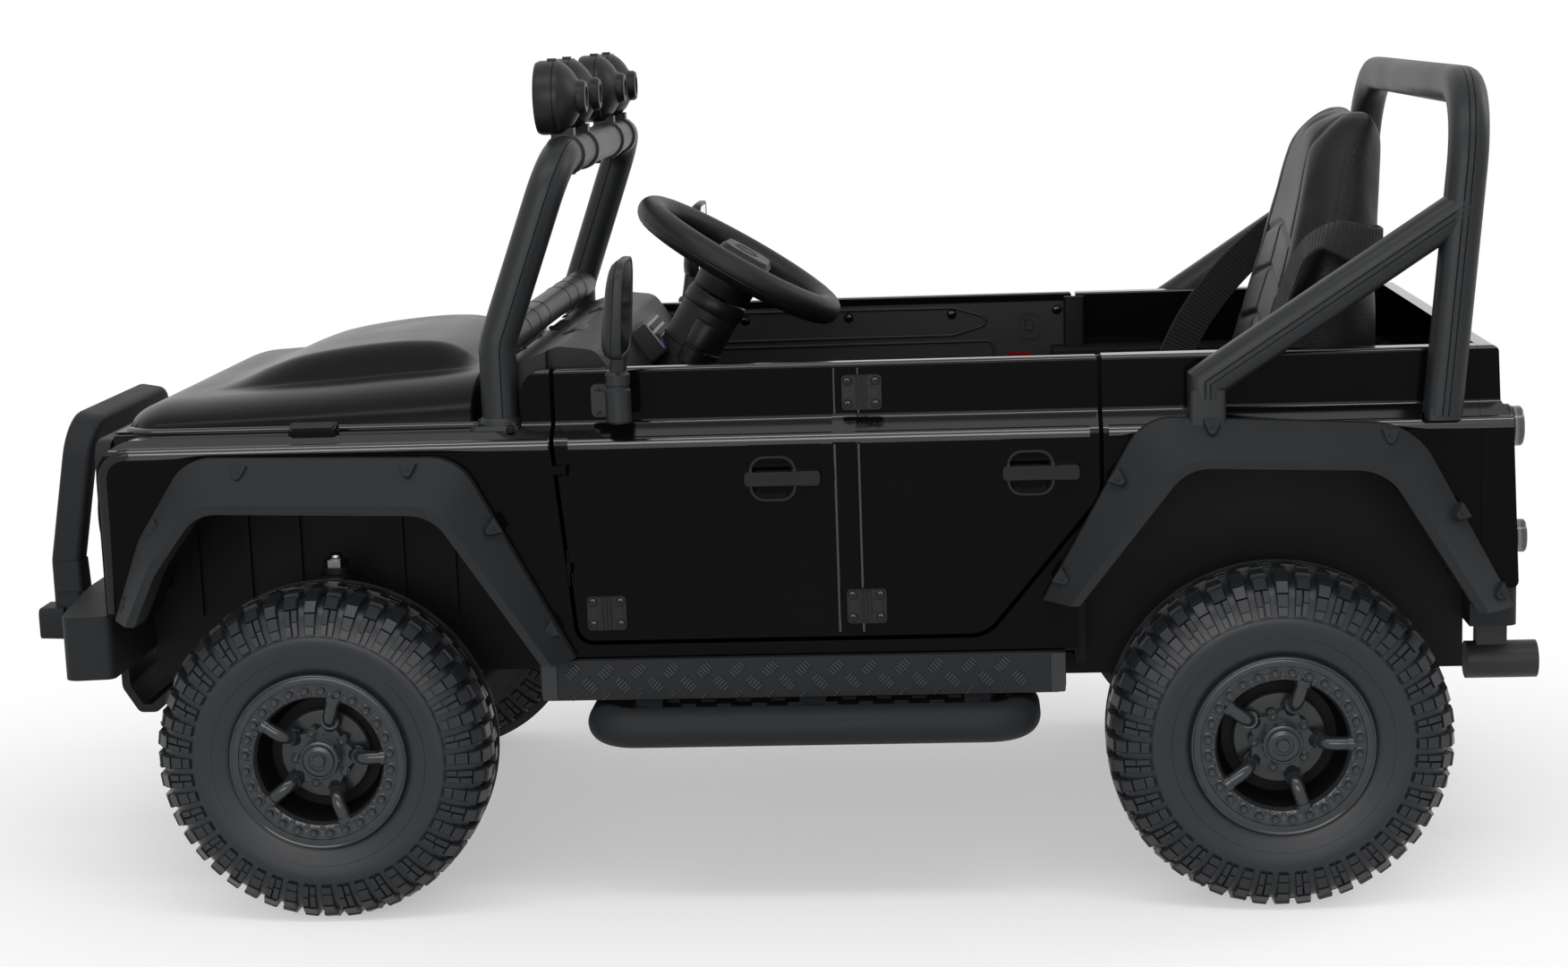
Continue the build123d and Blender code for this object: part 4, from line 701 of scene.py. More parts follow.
# Flare pockets: small drafted notches along the outer edge
# Columns x, z, direction of the edge's outward normal in degrees
POCKET_Y = 322
POCKETS = ((461, 422, 92), (306, 421, 91), (230.5, 364.5, 150), (183.5, 268.8, 154), (543, 371, 30), (575, 299, 22),
           (-411, 442, 92), (-566, 430, 94), (-327, 397, 38), (-276, 308, 35), (-629.6, 359, 150),
           (-665, 286.5, 155))
for side, sign in SIDES:
    for end in ("front", "rear"):
        pockets = Form()
        for x, z, angle in POCKETS:
            if (x > 0) != (end == "front"):
                continue
            up = Vector((math.cos(math.radians(angle)), 0, math.sin(math.radians(angle))))
            normal = (Vector((0, sign, 0)) * 0.83 + up * 0.55).normalized()
            at = facing((x, sign * POCKET_Y, z), normal, up)
            pockets.slab([(-8.5, 4), (-4, -10), (-2, -12), (2, -12), (4, -10), (8.5, 4)], -4, 3.4, 0, at, draft=1.5)
            bolt(pockets, at @ shift(0, -3.5, 3.2), 2.4, 1.0)
        pockets.make(f"{end}_flare_pockets_{side}", ["charcoal"], "chassis", "charcoal", smooth=30)

# Sill plates: raised diamond bars in clusters between plain end caps; step pads with a border and square lugs
STRIP_FACE = 312
STEP_TOP = 189
BAR_PITCH = 30
# Rows of clusters; columns height, first x, lean in degrees, half length of the middle ridge
BAR_ROWS = ((227, 167, -45, 6.4), (214, 152, 45, 6.4), (203.6, 167, -45, 3.0))
for side, sign in SIDES:
    plate = Form()
    for z, first, lean, reach in BAR_ROWS:
        for i in range(14):
            cluster = facing((first - i * BAR_PITCH, sign * STRIP_FACE, z), (0, sign, 0)) @ spin(math.radians(lean))
            for k in range(-2, 3) if reach > 4 else (-1, 0, 1):
                length = reach - abs(k) * 0.5
                plate.slab([(-length, 0), (-length * 0.7, -1.1), (length * 0.7, -1.1), (length, 0),
                            (length * 0.7, 1.1), (-length * 0.7, 1.1)], -0.2, 1.2, 0,
                            cluster @ shift(0, k * 3.0, 0), draft=0.75)
    for x, wide in ((189, 14), (-273, 13)):
        plate.tile(wide, 36.4, 2, -0.2, 1.2, 0, facing((x, sign * STRIP_FACE, 218.5), (0, sign, 0)), draft=0.5)
    plate.make(f"sill_plate_bars_{side}", ["plate_grey"], "chassis", "charcoal", smooth=30)

    pad = Form()
    for k in range(10):
        for first, y in ((96, 296), (80, 278)):
            at = facing((first - k * 32.4, sign * y, STEP_TOP), (0, 0, 1), (0, sign, 0))
            pad.tile(15, 9, 1.5, -0.5, 2.6, 0, at, draft=0.8)
    border = rounded([(120, sign * 266, 190), (112, sign * 311, 190), (-212, sign * 311, 190),
                      (-220, sign * 266, 190)], 10, 5)
    pad.sweep(border, circle(1.6, 8))
    pad.make(f"step_pad_{side}", ["charcoal"], "chassis", "charcoal", smooth=30)

# Door seals: soft lips on the body behind the door gaps
SEAL_Y = 257
SEAL_LINE = ((171, 498), (171, 440), (155, 262), (147, 250), (-205, 250), (-222, 262), (-309, 372), (-315, 384),
             (-315, 498))
seals = Form()
for side, sign in SIDES:
    seals.sweep([(x, sign * SEAL_Y, z) for x, z in SEAL_LINE], rounded_box(9, 22, 3), start_up=(1, 0, 0))
seals.make("door_seals", ["chassis_black"], "chassis", "chassis_black", smooth=40)

# Rolled belt edges of the wings, turned down their fronts, and of the rear quarters; the wing and quarter runs take
# the extra-reflective body gloss, a painted highlight, and the turned-down fronts the plainer gloss_trim.
belts = Form()
for side, sign in SIDES:
    belts.sweep([(181, sign * BELT_Y, BELT_Z), (568, sign * BELT_Y, BELT_Z)], circle(BELT_R, 24))
    wing_front = [(566, sign * BELT_Y, BELT_Z), (592.6, sign * BELT_Y, BELT_Z), (592.6, sign * BELT_Y, 288)]
    belts.sweep(rounded(wing_front, 22, 8), circle(BELT_R, 24), 1, start_up=(0, 1, 0))
    belts.sweep([(-322, sign * BELT_Y, BELT_Z), (-676, sign * BELT_Y, BELT_Z)], circle(BELT_R, 24))
belts.make("body_belts", ["edge_highlight_gloss", "gloss_trim"], "chassis", "gloss_black", smooth=50)

# Small body fittings: wing markers, nose and tail lamp units, post screws
details = Form()
for side, sign in SIDES:
    marker = facing((399, sign * 284, 449), (0, sign * 0.35, 1), (1, 0, 0))
    details.tile(17, 46, 3, -2, 6.5, 0, marker, draft=1.4)
    details.tile(12, 40, 2.5, 6, 7.4, 0, marker, draft=0.8)
    for x, y, z in ((216, 296, 449), (214, 300, 430)):
        plate_screw(details, facing((x, sign * y * 0.995, z), (0, sign, 0.5)), 3.2)
details.make("wing_markers", ["satin_black"], "chassis", "satin_black", smooth=34)

nose = Form()
for side, sign in SIDES:
    at = facing((612, sign * 192, 366), (1, 0, 0))
    nose.turned([(46, 0), (46, 7), (44, 10), (40.5, 10.5), (39, 7.5), (38.6, 3), (30, 1.2), (0.0, 0.6)], 56, 0, at)
    nose.turned([(38, 5), (30, 2.6), (12, 1.6), (0.0, 1.5)], 48, 1, at, caps=False)
    nose.turned([(38.8, 6.5), (38.8, 8.5), (26, 11.8), (0.0, 13.6)], 48, 2, at)
nose.make("headlamp_units", ["lamp_black", "chrome", "lamp_lens"], "chassis", "lamp_lens", ["headlamps"], smooth=34)

TAIL_LAMP_Y = 262
tail = Form()
for z, r in ((425, 18), (325, 15)):
    x = -682 + (z - 286) * 6.0 / 152
    for side, sign in SIDES:
        at = facing((x + 5, sign * TAIL_LAMP_Y, z), (-1, 0, 0))
        tail.turned([(r + 2, 0), (r + 2, 8), (r + 1, 9), (r, 9), (r, 11), (0.0, 11)], 40, 0, at)
        tail.turned([(r - 1.4, 11.6), (r - 6, 11.3), (0.0, 11.2)], 36, 1, at, caps=False)
        tail.turned([(r, 10.6), (r, 18), (r - 1, 19.4), (r * 0.55, 20.6), (0.0, 21.2)], 40, 2, at)
tail.make("tail_lamp_units", ["lamp_black", "chrome", "tail_lens"], "chassis", "tail_lens", ["tail_lamps"],
          smooth=34)

# Bonnet: one pressed skin with rolled edges, round front corners and a raised, tapering centre
BONNET_REAR, BONNET_FRONT = 255, 594
BONNET_HALF = 252
BONNET_LIP = 448.5
BONNET_ROLL = (42, 69)
BEAD_Z = 446.5
# Height of the panel, and of the raised centre over it; columns x, value
BONNET_CROWN = ((255, 490), (272, 488.6), (307, 485.8), (344, 483.6), (400, 479.6), (470, 475.4), (512, 473),
                (556, 470.4), (594, 468))
BONNET_LIFT = ((255, 0.0), (266, 0.0), (276, 4.0), (291, 16), (310, 23.5), (335, 26.5), (365, 27.5), (405, 26.5),
               (450, 22), (480, 14.5), (502, 7.0), (520, 2.0), (534, 0.0), (594, 0.0))
CENTRE_TOP, CENTRE_BASE = 114, 152


def curve(table, x):
    """Value at x of a smooth line through rows of (x, value)."""
    slopes = []
    for i in range(len(table)):
        (x0, v0), (x1, v1) = table[max(i - 1, 0)], table[min(i + 1, len(table) - 1)]
        slopes.append((v1 - v0) / (x1 - x0))
    for i in range(len(table) - 1):
        (x0, v0), (x1, v1) = table[i], table[i + 1]
        if x <= x1:
            span = x1 - x0
            t = max(0.0, (x - x0) / span)
            rise = (2 * t ** 3 - 3 * t * t + 1) * v0 + (3 * t * t - 2 * t ** 3) * v1
            return rise + span * ((t ** 3 - 2 * t * t + t) * slopes[i] + (t ** 3 - t * t) * slopes[i + 1])
    return table[-1][1]


def eased(value):
    value = min(1.0, max(0.0, value))
    return value * value * (3 - 2 * value)


def bonnet_height(x, y):
    side = min(1.0, max(0.0, (abs(y) - CENTRE_TOP) / (CENTRE_BASE - CENTRE_TOP)))
    share = 1.0 - side ** 1.7 + 0.08 * (1.0 - (y / CENTRE_BASE) ** 2) * (side < 1.0)
    raised = max(0.0, curve(BONNET_LIFT, x)) * share
    ahead = max(0.0, (x - BONNET_FRONT + BONNET_ROLL[0]) / BONNET_ROLL[0])
    aside = max(0.0, (abs(y) - BONNET_HALF + BONNET_ROLL[1]) / BONNET_ROLL[1])
    behind = max(0.0, (BONNET_REAR + 4.0 - x) / 4.0)
    edge = math.sqrt(max(0.0, 1.0 - ahead ** 2 - aside ** 2 - behind ** 2))
    return BONNET_LIP + (curve(BONNET_CROWN, x) + raised - BONNET_LIP) * edge


def even_ends(low, high, count, gather):
    """Values from low to high, gathered towards both ends."""
    return [low + (high - low) * ((1 - gather) * k / count + gather * (1 - math.cos(math.pi * k / count)) / 2)
            for k in range(count + 1)]


bonnet_x = even_ends(BONNET_REAR, BONNET_FRONT, 96, 0.6)
bonnet_y = even_ends(-BONNET_HALF, BONNET_HALF, 132, 0.45)
bonnet = Form()
top_points = [(x, y, bonnet_height(x, y)) for x in bonnet_x for y in bonnet_y]
across = len(bonnet_y)
top_faces = [[i * across + k, i * across + k + 1, (i + 1) * across + k + 1,
              (i + 1) * across + k] for i in range(len(bonnet_x) - 1) for k in range(across - 1)]
bonnet.add(top_points, top_faces)
bonnet.box((BONNET_REAR, -BONNET_HALF, 447.4), (BONNET_FRONT, BONNET_HALF, 448.8))
bonnet.make("bonnet_skin", ["satin_black"], "chassis", "satin_black", ["bonnet"], smooth=60)

# Wing beads: glossy rolls along the bonnet's sides, turned in round its front corners
beads = Form()
for side, sign in SIDES:
    line = [(250, sign * 257, BEAD_Z)]
    for k in range(9):
        a = math.pi / 2 * k / 18
        line.append((552 + 47 * math.sin(a), sign * (183 + 74 * math.cos(a)), BEAD_Z))
    beads.sweep(line, circle(5.5, 20), start_up=(0, 0, 1))
beads.make("wing_beads", ["gloss_black"], "chassis", "gloss_black", smooth=50)

# Bull bar: flat-sided loop on two blocks, with screw heads down its posts
BULL_Y = 124
BULL_LINE = ((691.5, BULL_Y, 250), (691.5, BULL_Y, 305), (668, BULL_Y, 434))
bull = Form()
bull_points = list(BULL_LINE) + [other_side(p) for p in BULL_LINE[::-1]]
bull.sweep(rounded(bull_points, 27, 8), rounded_box(29, 27, 6), start_up=(0, 1, 0))
for side, sign in SIDES:
    bull.tile(44, 32, 6, 0, 25, 0, facing((694.5, sign * BULL_Y, 244), (1, 0, 0)), draft=1.2)
    bull.box((664.8, sign * BULL_Y - 11, 236), (700, sign * BULL_Y + 11, 275))
    bull.tile(32, 26, 5, -14, 15, 0, facing((688, sign * BULL_Y, 290), (0, 0, 1)), draft=1.5)
    for z, x in ((330, 699.5), (385, 689.5)):
        plate_screw(bull, facing((x + 1.6, sign * BULL_Y, z), (1, 0, 0.18)), 3.4)
bull.make("bull_bar_loop", ["charcoal"], "chassis", "charcoal", ["bull_bar"], smooth=34)

# Seat: stuffed back and cushion, blown up as cloth, then sewn
SEAT_VOXEL = 5.0
SEAT_FLOOR = 325.6
SEAT_FRONT = ((326, -446), (371, -447), (420, -464), (468, -481), (560, -510), (620, -525), (660, -534),
              (684, -542), (697, -551), (704, -561), (707, -570))
SEAT_REAR = ((326, -575), (560, -575), (640, -583), (690, -589), (703, -588), (707, -584))
SEAT_WIDTH = ((326, 166), (545, 166), (600, 151), (660, 125), (685, 110), (698, 99), (704, 90), (707, 80))
SEAM_OUT = ((326, 122), (470, 114), (560, 101), (640, 76), (700, 52))
BACK_SEAMS = (412, 458, 504, 550, 594)
BACK_PANEL_TOP = 596


def stuffed(name, rings, cap, floor_z):
    """Closed cover through rings, blown up; no point moves more than cap or sinks below floor_z."""
    cover = Form()
    cover.skin(rings)
    mesh = bpy.data.meshes.new(name)
    mesh.from_pydata([[c * MM for c in point] for ring in rings for point in ring], [], cover.faces)
    tidy_normals(mesh)
    work = bpy.data.objects.new(name, mesh)
    bpy.context.collection.objects.link(work)
    even = work.modifiers.new("even", "REMESH")
    even.mode = "VOXEL"
    even.voxel_size = SEAT_VOXEL * MM
    bake(work)
    rest = [v.co.copy() for v in work.data.vertices]
    fill = work.modifiers.new("fill", "CLOTH")
    fill.settings.quality = 5
    fill.settings.use_pressure = True
    fill.settings.uniform_pressure_force = 4.0
    fill.settings.effector_weights.gravity = 0.0
    for step in range(1, 21):
        bpy.context.scene.frame_set(step)
    bake(work)
    bpy.context.scene.frame_set(1)
    for vertex, before in zip(work.data.vertices, rest):
        moved = vertex.co - before
        if moved.length > cap * MM:
            moved *= cap * MM / moved.length
        vertex.co = before + moved
    even_out(work.data, 6)
    for vertex in work.data.vertices:
        vertex.co.z = max(vertex.co.z, floor_z * MM)
    soft = work.modifiers.new("soft", "SUBSURF")
    soft.levels = 1
    bake(work)
    return work


def even_out(mesh, passes):
    shape = bmesh.new()
    shape.from_mesh(mesh)
    for turn in range(passes):
        bmesh.ops.smooth_vert(shape, verts=shape.verts, factor=0.5, use_axis_x=True, use_axis_y=True,
                              use_axis_z=True)
    shape.to_mesh(mesh)
    shape.free()


def bake(work):
    """Turn the object's modifiers into its mesh."""
    graph = bpy.context.evaluated_depsgraph_get()
    graph.update()
    done = bpy.data.meshes.new_from_object(work.evaluated_get(graph))
    work.modifiers.clear()
    work.data = done


def sewn(work, depth_at):
    """Press seams into the cover; depth_at takes a point in mm and the normal."""
    points = [(v, v.co.copy(), v.normal.copy()) for v in work.data.vertices]
    for vertex, spot, normal in points:
        depth = depth_at(spot / MM, normal)
        if depth > 0.01:
            vertex.co = spot - normal * depth * MM
    work.data.update()


def groove(distance, depth=4.2, width=3.4):
    return depth * math.exp(-(distance / width) ** 2)


def linear(table, x):
    for (x0, v0), (x1, v1) in zip(table, table[1:]):
        if x <= x1:
            return v0 + (v1 - v0) * max(0.0, (x - x0) / (x1 - x0))
    return table[-1][1]


def back_seams(spot, normal):
    x, y, z = spot
    if normal.x < 0.2:
        if normal.x <= -0.6 or abs(y) <= 60:
            return 0.0
        edge = linear(SEAT_FRONT, z) - 15
        return groove(x - edge, 2.6, 2.4) * (1.0 - eased((z - 655) / 30))
    side_seam = linear(SEAM_OUT, z)
    depth = groove(abs(y) - side_seam, 4.2 - 2.9 * eased((z - 600) / 70))
    if z < BACK_PANEL_TOP and abs(y) < side_seam:
        depth = max(depth, groove(y))
        depth = max([depth] + [groove(z + 0.16 * abs(y) - level, 3.8, 3.2) for level in BACK_SEAMS])
    return depth


back_rings = []
for z in (326, 340, 371, 400, 430, 468, 500, 530, 560, 590, 620, 645, 665, 680, 690, 698, 703, 706, 707):
    front, rear, half = linear(SEAT_FRONT, z), linear(SEAT_REAR, z), linear(SEAT_WIDTH, z)
    deep = front - rear
    outline = rounded_box(deep, 2 * half, min(30, deep * 0.42), 6)
    back_rings.append([(a + (front + rear) / 2, b, z) for a, b in outline])
seat_pad = stuffed("seat_back_pad", back_rings, 9, SEAT_FLOOR)
sewn(seat_pad, back_seams)

CUSHION_SEAMS = (-300, -346, -392)
CUSHION_SIDE = 112


def cushion_seams(spot, normal):
    x, y, z = spot
    if normal.z < 0.3:
        return groove(z - 348, 2.4, 2.2) if abs(normal.z) < 0.5 else 0.0
    depth = groove(abs(y) - CUSHION_SIDE)
    if abs(y) < CUSHION_SIDE:
        depth = max([depth, groove(y)] + [groove(x - 0.14 * abs(y) - level, 3.6, 3.2) for level in CUSHION_SEAMS])
    return depth


cushion_rings = []
for z, inset in ((327, 9.0), (334, 5.0), (350, 4.0), (360, 6.0), (365, 12)):
    outline = rounded_box(190 - 2 * inset, 360 - 2 * inset, 24, 6)
    cushion_rings.append([(a - 343, b, z) for a, b in outline])
cushion_pad = stuffed("seat_cushion_pad", cushion_rings, 8, SEAT_FLOOR)
sewn(cushion_pad, cushion_seams)

for pad, node in ((seat_pad, "seat_back"), (cushion_pad, "seat_cushion")):
    pad.data.materials.clear()
    pad.data.materials.append(FINISH["leather_black"])
    pad.data.shade_smooth()
    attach(pad, "chassis")
    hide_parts(node)

# Stitches along the seat's side panels, laid on the sewn cover
cover_tree = BVHTree.FromPolygons([v.co for v in seat_pad.data.vertices],
                                  [list(p.vertices) for p in seat_pad.data.polygons])
STITCH_TOP = 678
stitches = Form()
for side, sign in SIDES:
    for row in (-21, -29):
        for k in range(38):
            z = 388 + k * 7.4
            ends = []
            for step in (0.0, 4.6):
                level = z + step
                if level > STITCH_TOP:
                    continue
                start = Vector((linear(SEAT_FRONT, level) + row, sign * 260, level)) * MM
                spot, normal, face, length = cover_tree.ray_cast(start, Vector((0, -sign, 0)))
                if spot:
                    ends.append(spot / MM + normal * 0.35)
            if len(ends) == 2:
                stitches.sweep(ends, circle(0.75, 6), start_up=(0, sign, 0))
stitches.make("seat_stitches", ["thread"], "chassis", "leather_black", smooth=60)


# Webbing straps
def ribbon(form, rows, width, thick, step=1.9):
    """Ribbed flat band; rows of a point and the way the flat faces there."""
    points = [Vector(p) for p, n in rows]
    flats = [Vector(n).normalized() for p, n in rows]
    line = []
    for i in range(len(points) - 1):
        p0, p1, p2, p3 = points[max(i - 1, 0)], points[i], points[i + 1], points[min(i + 2, len(points) - 1)]
        count = max(2, int((p2 - p1).length / step))
        for k in range(count):
            t = k / count
            bend = (2 * p0 - 5 * p1 + 4 * p2 - p3) * t * t + (3 * p1 - p0 - 3 * p2 + p3) * t ** 3
            spot = 0.5 * (2 * p1 + (p2 - p0) * t + bend)
            line.append((spot, flats[i].lerp(flats[i + 1], t)))
    line.append((points[-1], flats[-1]))
    rings = []
    for i, (spot, flat) in enumerate(line):
        along = (line[min(i + 1, len(line) - 1)][0] - line[max(i - 1, 0)][0]).normalized()
        normal = (flat - along * flat.dot(along)).normalized()
        cross = along.cross(normal)
        rise = thick / 2 + (0.8 if i % 2 else 0.0)
        half = width / 2
        section = ((-half, -0.3), (-half, 0.3), (-half + 1.2, rise), (0, rise), (half - 1.2, rise), (half, 0.3),
                   (half, -0.3), (half - 1.2, -rise), (0, -rise), (-half + 1.2, -rise))
        rings.append([spot + cross * a + normal * b for a, b in section])
    form.skin(rings)


STRAP_WIDTH = 36
STRAP_THICK = 2.0
NEAR_STRAP = (((-585, 96, 578), (-1, 0, 0)), ((-586, 132, 578), (-1, 0.2, 0)), ((-580, 160, 579), (-0.7, 0.7, 0)),
              ((-563, 176, 583), (-0.1, 1, 0.15)), ((-545, 180, 590), (0.1, 0.85, 0.5)),
              ((-528, 176, 592), (0.3, 0.45, 0.85)), ((-511, 164, 578), (0.8, 0.3, 0.7)),
              ((-499, 150, 548), (1, 0.3, 0.4)), ((-485, 132, 500), (1, 0.2, 0.35)),
              ((-466, 104, 444), (1, 0, 0.4)), ((-440, 68, 394), (0.8, 0, 0.8)), ((-408, 40, 379), (0.2, 0, 1)),
              ((-378, 26, 377.5), (0, 0, 1)))
FAR_STRAP = (((-583, -96, 590), (-1, 0, 0)), ((-584, -134, 590), (-1, -0.2, 0)),
             ((-575, -166, 590), (-0.6, -0.8, 0)), ((-556, -177, 588), (-0.1, -1, 0)),
             ((-520, -183, 566), (0.1, -1, 0.1)), ((-478, -187, 528), (0.1, -1, 0.1)),
             ((-440, -187, 480), (0.1, -1, 0.1)), ((-414, -180, 430), (0.1, -1, 0.2)),
             ((-400, -158, 394), (0.1, -0.7, 0.7)), ((-392, -110, 379), (0, -0.1, 1)),
             ((-384, -60, 377.5), (0, 0, 1)), ((-378, -26, 377.5), (0, 0, 1)))
straps = Form()
for rows in (NEAR_STRAP, FAR_STRAP):
    ribbon(straps, rows, STRAP_WIDTH, STRAP_THICK)
straps.make("seat_straps", ["webbing"], "chassis", "leather_black", smooth=40)
buckle = Form()
buckle_at = facing((-378, 0, 374.5), (0, 0, 1), (1, 0, 0))
buckle.tile(62, 42, 9, 0.0, 8, 0, buckle_at, draft=2.2)
buckle.tile(20, 14, 4, 7, 9.4, 1, buckle_at, draft=1)
for sign in (1.0, -1.0):
    slot_bar = buckle_at @ shift(sign * 26, 0, 8)
    buckle.tile(5, 34, 2, -1, 1.4, 0, slot_bar, draft=0.6)
buckle.make("seat_buckle", ["lamp_black", "red_lens"], "chassis", "leather_black", smooth=34)

# Dashboard: two vent cowls a side, a radio unit with blank keys, a stub by the column, screws along the top
# Cowl outlines seen from the side; columns x, z
NEAR_COWL = ((205, 486), (205, 499), (197, 507), (188, 509.5), (177, 506.5), (143, 490), (138, 484), (141, 478))
MID_COWL = ((198, 488), (198, 505), (190, 516), (181, 520.5), (171, 518), (159, 507), (156, 496), (157, 482))
COWLS = ((NEAR_COWL, 160, 214), (MID_COWL, 66, 124))
dash = Form()
for side, sign in SIDES:
    for outline, y0, y1 in COWLS:
        x_mid = sum(x for x, z in outline) / len(outline)
        z_mid = sum(z for x, z in outline) / len(outline)
        rings = []
        for y, scale in ((y0, 0.88), (y0 + 3, 0.97), (y0 + 8, 1.0), (y1 - 8, 1.0), (y1 - 3, 0.97), (y1, 0.88)):
            rings.append([(x_mid + (x - x_mid) * scale, sign * y, z_mid + (z - z_mid) * scale) for x, z in outline])
        dash.skin(rings)
        mouth = facing((outline[5][0] + 1, sign * (y0 + y1) / 2, outline[5][1] - 1), (-0.75, 0, 0.5))
        wide = y1 - y0 - 14
        ring_frame(dash, rounded_box(wide, 15, 4), rounded_box(wide - 5, 11, 3), -1, 2.2, 0, mouth)
        for k in (-1, 0, 1):
            dash.box((3 - wide / 2, k * 3.2 - 0.6, -1), (wide / 2 - 3, k * 3.2 + 0.6, 1.4), 0, mouth)
    for y in (238, 140, 40):
        plate_screw(dash, facing((226, sign * y, 503.5), (0.3, 0, 1)), 3.2)
for k in range(9):
    y = 9 * k - 36
    dash.box((206, y - 1, 509), (216, y + 1, 511.4))
radio_at = facing((117, -14, 494), (-0.8, 0, 0.6))
dash.tile(104, 38, 4, -10, 8, 0, radio_at, draft=1.0)
dash.tile(97, 31, 3, 7.6, 9.2, 1, radio_at, draft=0.5)
dash.tile(88, 7, 1.5, 9.0, 9.9, 2, radio_at @ shift(0, -10, 0), draft=0.4)
for k in range(15):
    for y in (9.5, 0.5):
        key_at = radio_at @ shift((k - 7) * 6, y, 9.0)
        dash.tile(4.2, 6.0, 1.0, 0, 1.6, 0, key_at, draft=0.4)
dash.make("dash_details", ["dash_black", "radio_silver", "screen_blue"], "chassis", "dash_black", smooth=36,
          bevel=0.5)

# Steering column: shroud collar, stub switch on the near side, parting line
shroud = Form()
shroud.turned([(30.2, -58), (31.4, -56), (31.4, -48), (30, -44), (24, -42.2)], 48, 0, steer_at, caps=False)
shroud.turned([(30.3, -100), (31.2, -99), (31.2, -96), (30.3, -95)], 48, 0, steer_at, caps=False)
stub_at = steer_at @ shift(29, 6, -104)
shroud.turned([(13, -8), (13, 8), (11.6, 9), (11.6, 11), (14, 12), (14.4, 34), (13, 37), (0.0, 37.4)], 36, 0,
              stub_at)
shroud.make("column_shroud", ["lamp_black"], "chassis", "dash_black", smooth=34)

# Stage: pale floor, white surround, soft boxes, and a camera that stands where the photograph was taken
FLOOR_SIZE = 60
ROOM_LIGHT = 0.58


def seen_directly(tree):
    """Output that is 1 for rays that show the surround: to the camera, mirrored, or through a lens."""
    rays = add_node(tree, "ShaderNodeLightPath").outputs
    seen = rays["Is Camera Ray"]
    for other in ("Is Glossy Ray", "Is Transmission Ray"):
        either = add_node(tree, "ShaderNodeMath", {0: seen, 1: rays[other]})
        either.operation = "MAXIMUM"
        seen = either.outputs["Value"]
    return seen


floor_mesh = bpy.data.meshes.new("floor")
floor_corners = [(x * FLOOR_SIZE, y * FLOOR_SIZE, 0.0) for x, y in ((-1, -1), (1, -1), (1, 1), (-1, 1))]
floor_mesh.from_pydata(floor_corners, [], [[0, 1, 2, 3]])
floor = bpy.data.objects.new("floor", floor_mesh)
bpy.context.collection.objects.link(floor)
floor_paint = surface("floor_paint", (0.94, 0.94, 0.94), 0.8, mottle=0.03, specular=0.1)
floor_mesh.materials.append(floor_paint)

world = bpy.data.worlds.new("studio")
bpy.context.scene.world = world
world.use_nodes = True
sky = world.node_tree
level = add_node(sky, "ShaderNodeMapRange", {"Value": seen_directly(sky), "To Min": ROOM_LIGHT, "To Max": 1.0})
feed(sky, sky.nodes["Background"], {"Color": (1.0, 1.0, 1.0, 1.0), "Strength": level.outputs["Result"]})

# The floor fades to the white surround beyond an oval round the car, for the same rays that see the surround
OVAL = (1.1, 0.72)
tree = floor_paint.node_tree
place = add_node(tree, "ShaderNodeTexCoord")
shrink = add_node(tree, "ShaderNodeMapping",
                  {"Vector": place.outputs["Object"], "Scale": (1.0 / OVAL[0], 1.0 / OVAL[1], 1.0)})
reach = add_node(tree, "ShaderNodeVectorMath", {0: shrink.outputs["Vector"]})
reach.operation = "LENGTH"
fade = add_node(tree, "ShaderNodeMapRange",
                {"Value": reach.outputs["Value"], "From Min": 0.5, "From Max": 1.3, "To Min": 0.42})
fade.interpolation_type = "SMOOTHSTEP"
share = add_node(tree, "ShaderNodeMath", {0: fade.outputs["Result"], 1: seen_directly(tree)})
share.operation = "MULTIPLY"
white = add_node(tree, "ShaderNodeEmission")
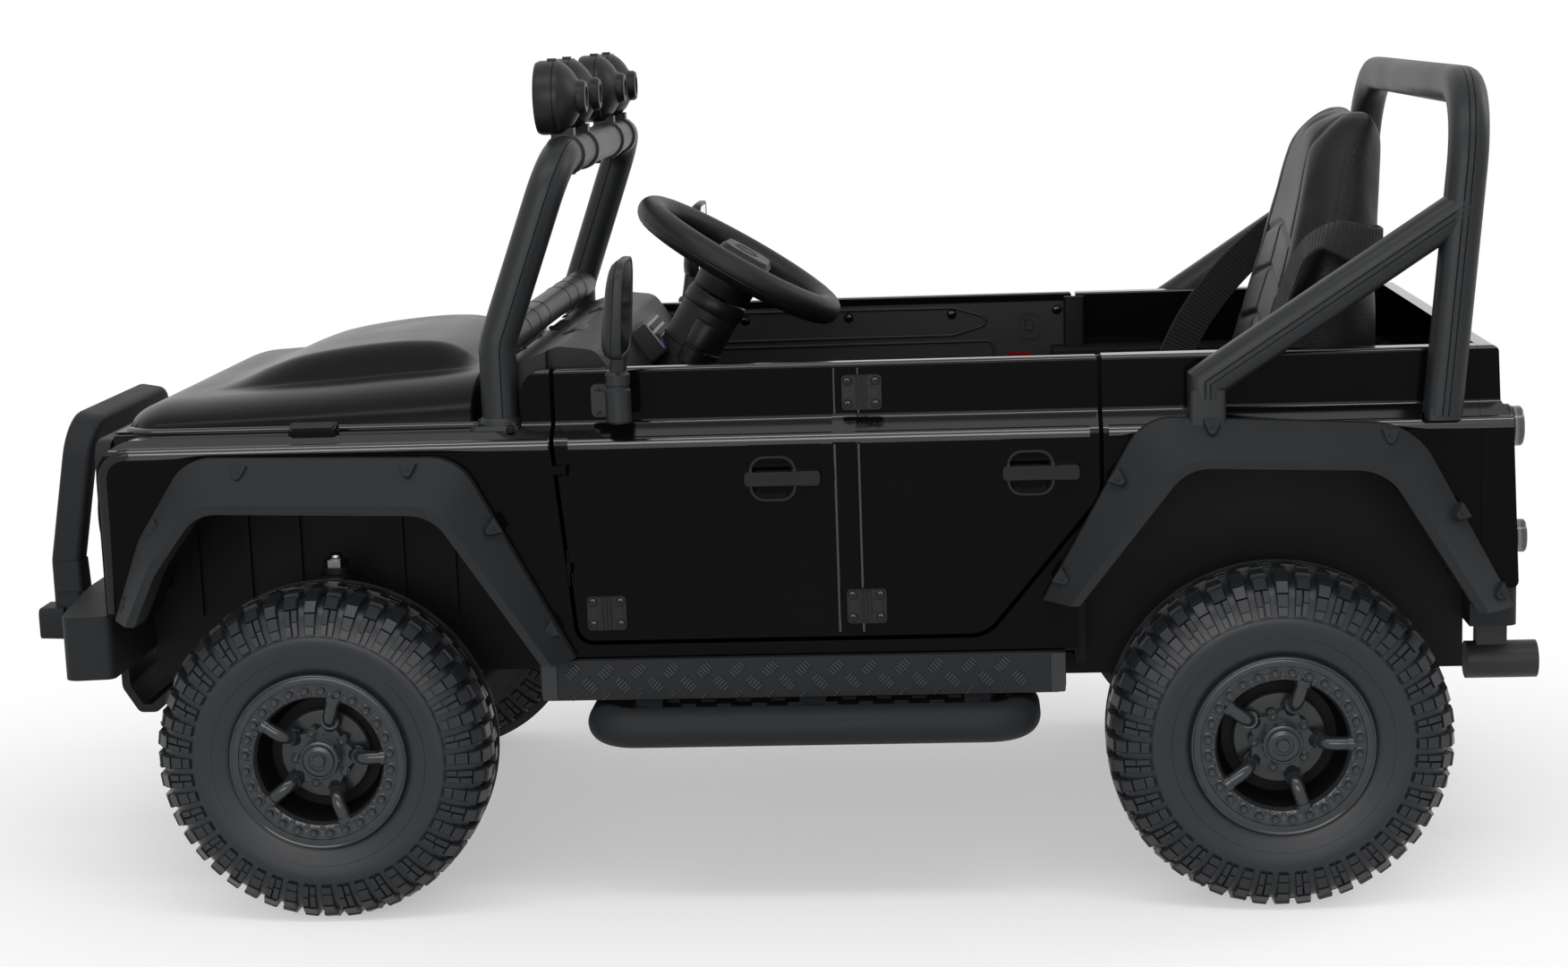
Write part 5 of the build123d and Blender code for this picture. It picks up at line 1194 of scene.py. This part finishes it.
mixed = add_node(tree, "ShaderNodeMixShader", {"Fac": share.outputs["Value"], 2: white.outputs["Emission"],
                                               1: tree.nodes["Principled BSDF"].outputs["BSDF"]})
feed(tree, tree.nodes["Material Output"], {"Surface": mixed.outputs["Shader"]})


def soft_box(name, at, target, width, height, power):
    light = bpy.data.lights.new(name, "AREA")
    light.shape = "RECTANGLE"
    light.size = width
    light.size_y = height
    light.energy = power
    lamp = bpy.data.objects.new(name, light)
    lamp.location = at
    lamp.rotation_euler = (Vector(target) - Vector(at)).to_track_quat("-Z", "Y").to_euler()
    bpy.context.collection.objects.link(lamp)


soft_box("key_box", (0.1, 1.4, 2.7), (0.0, 0.1, 0.4), 3.6, 0.5, 31)
soft_box("front_box", (0.3, 3.6, 1.2), (0.0, 0.0, 0.35), 2.8, 1.4, 48)
soft_box("rear_box", (-2.6, -0.6, 1.9), (-0.4, 0.0, 0.5), 0.8, 1.4, 14)

CAMERA_AT = (-0.197085, 2.69535, 0.80669)
CAMERA_YAW, CAMERA_PITCH, CAMERA_ROLL = 0.0693720602, 0.170031724, -0.0349437476
PHOTO_WIDTH = 1752
FOCAL_PX = 3024.178
camera_data = bpy.data.cameras.new("camera")
camera_data.sensor_fit = "HORIZONTAL"
camera_data.sensor_width = 36
camera_data.lens = FOCAL_PX / PHOTO_WIDTH * camera_data.sensor_width
camera = bpy.data.objects.new("camera", camera_data)
bpy.context.collection.objects.link(camera)
ahead = Vector((math.sin(CAMERA_YAW) * math.cos(CAMERA_PITCH), -math.cos(CAMERA_YAW) * math.cos(CAMERA_PITCH),
                -math.sin(CAMERA_PITCH)))
right = ahead.cross(Vector((0, 0, 1))).normalized()
above = right.cross(ahead)
camera_x = math.cos(CAMERA_ROLL) * right + math.sin(CAMERA_ROLL) * above
camera_y = -math.sin(CAMERA_ROLL) * right + math.cos(CAMERA_ROLL) * above
camera.matrix_world = Matrix.Translation(Vector(CAMERA_AT)) @ Matrix((camera_x, camera_y,
                                                                      -ahead)).transposed().to_4x4()
bpy.context.scene.camera = camera
bpy.context.scene.view_settings.view_transform = "Standard"
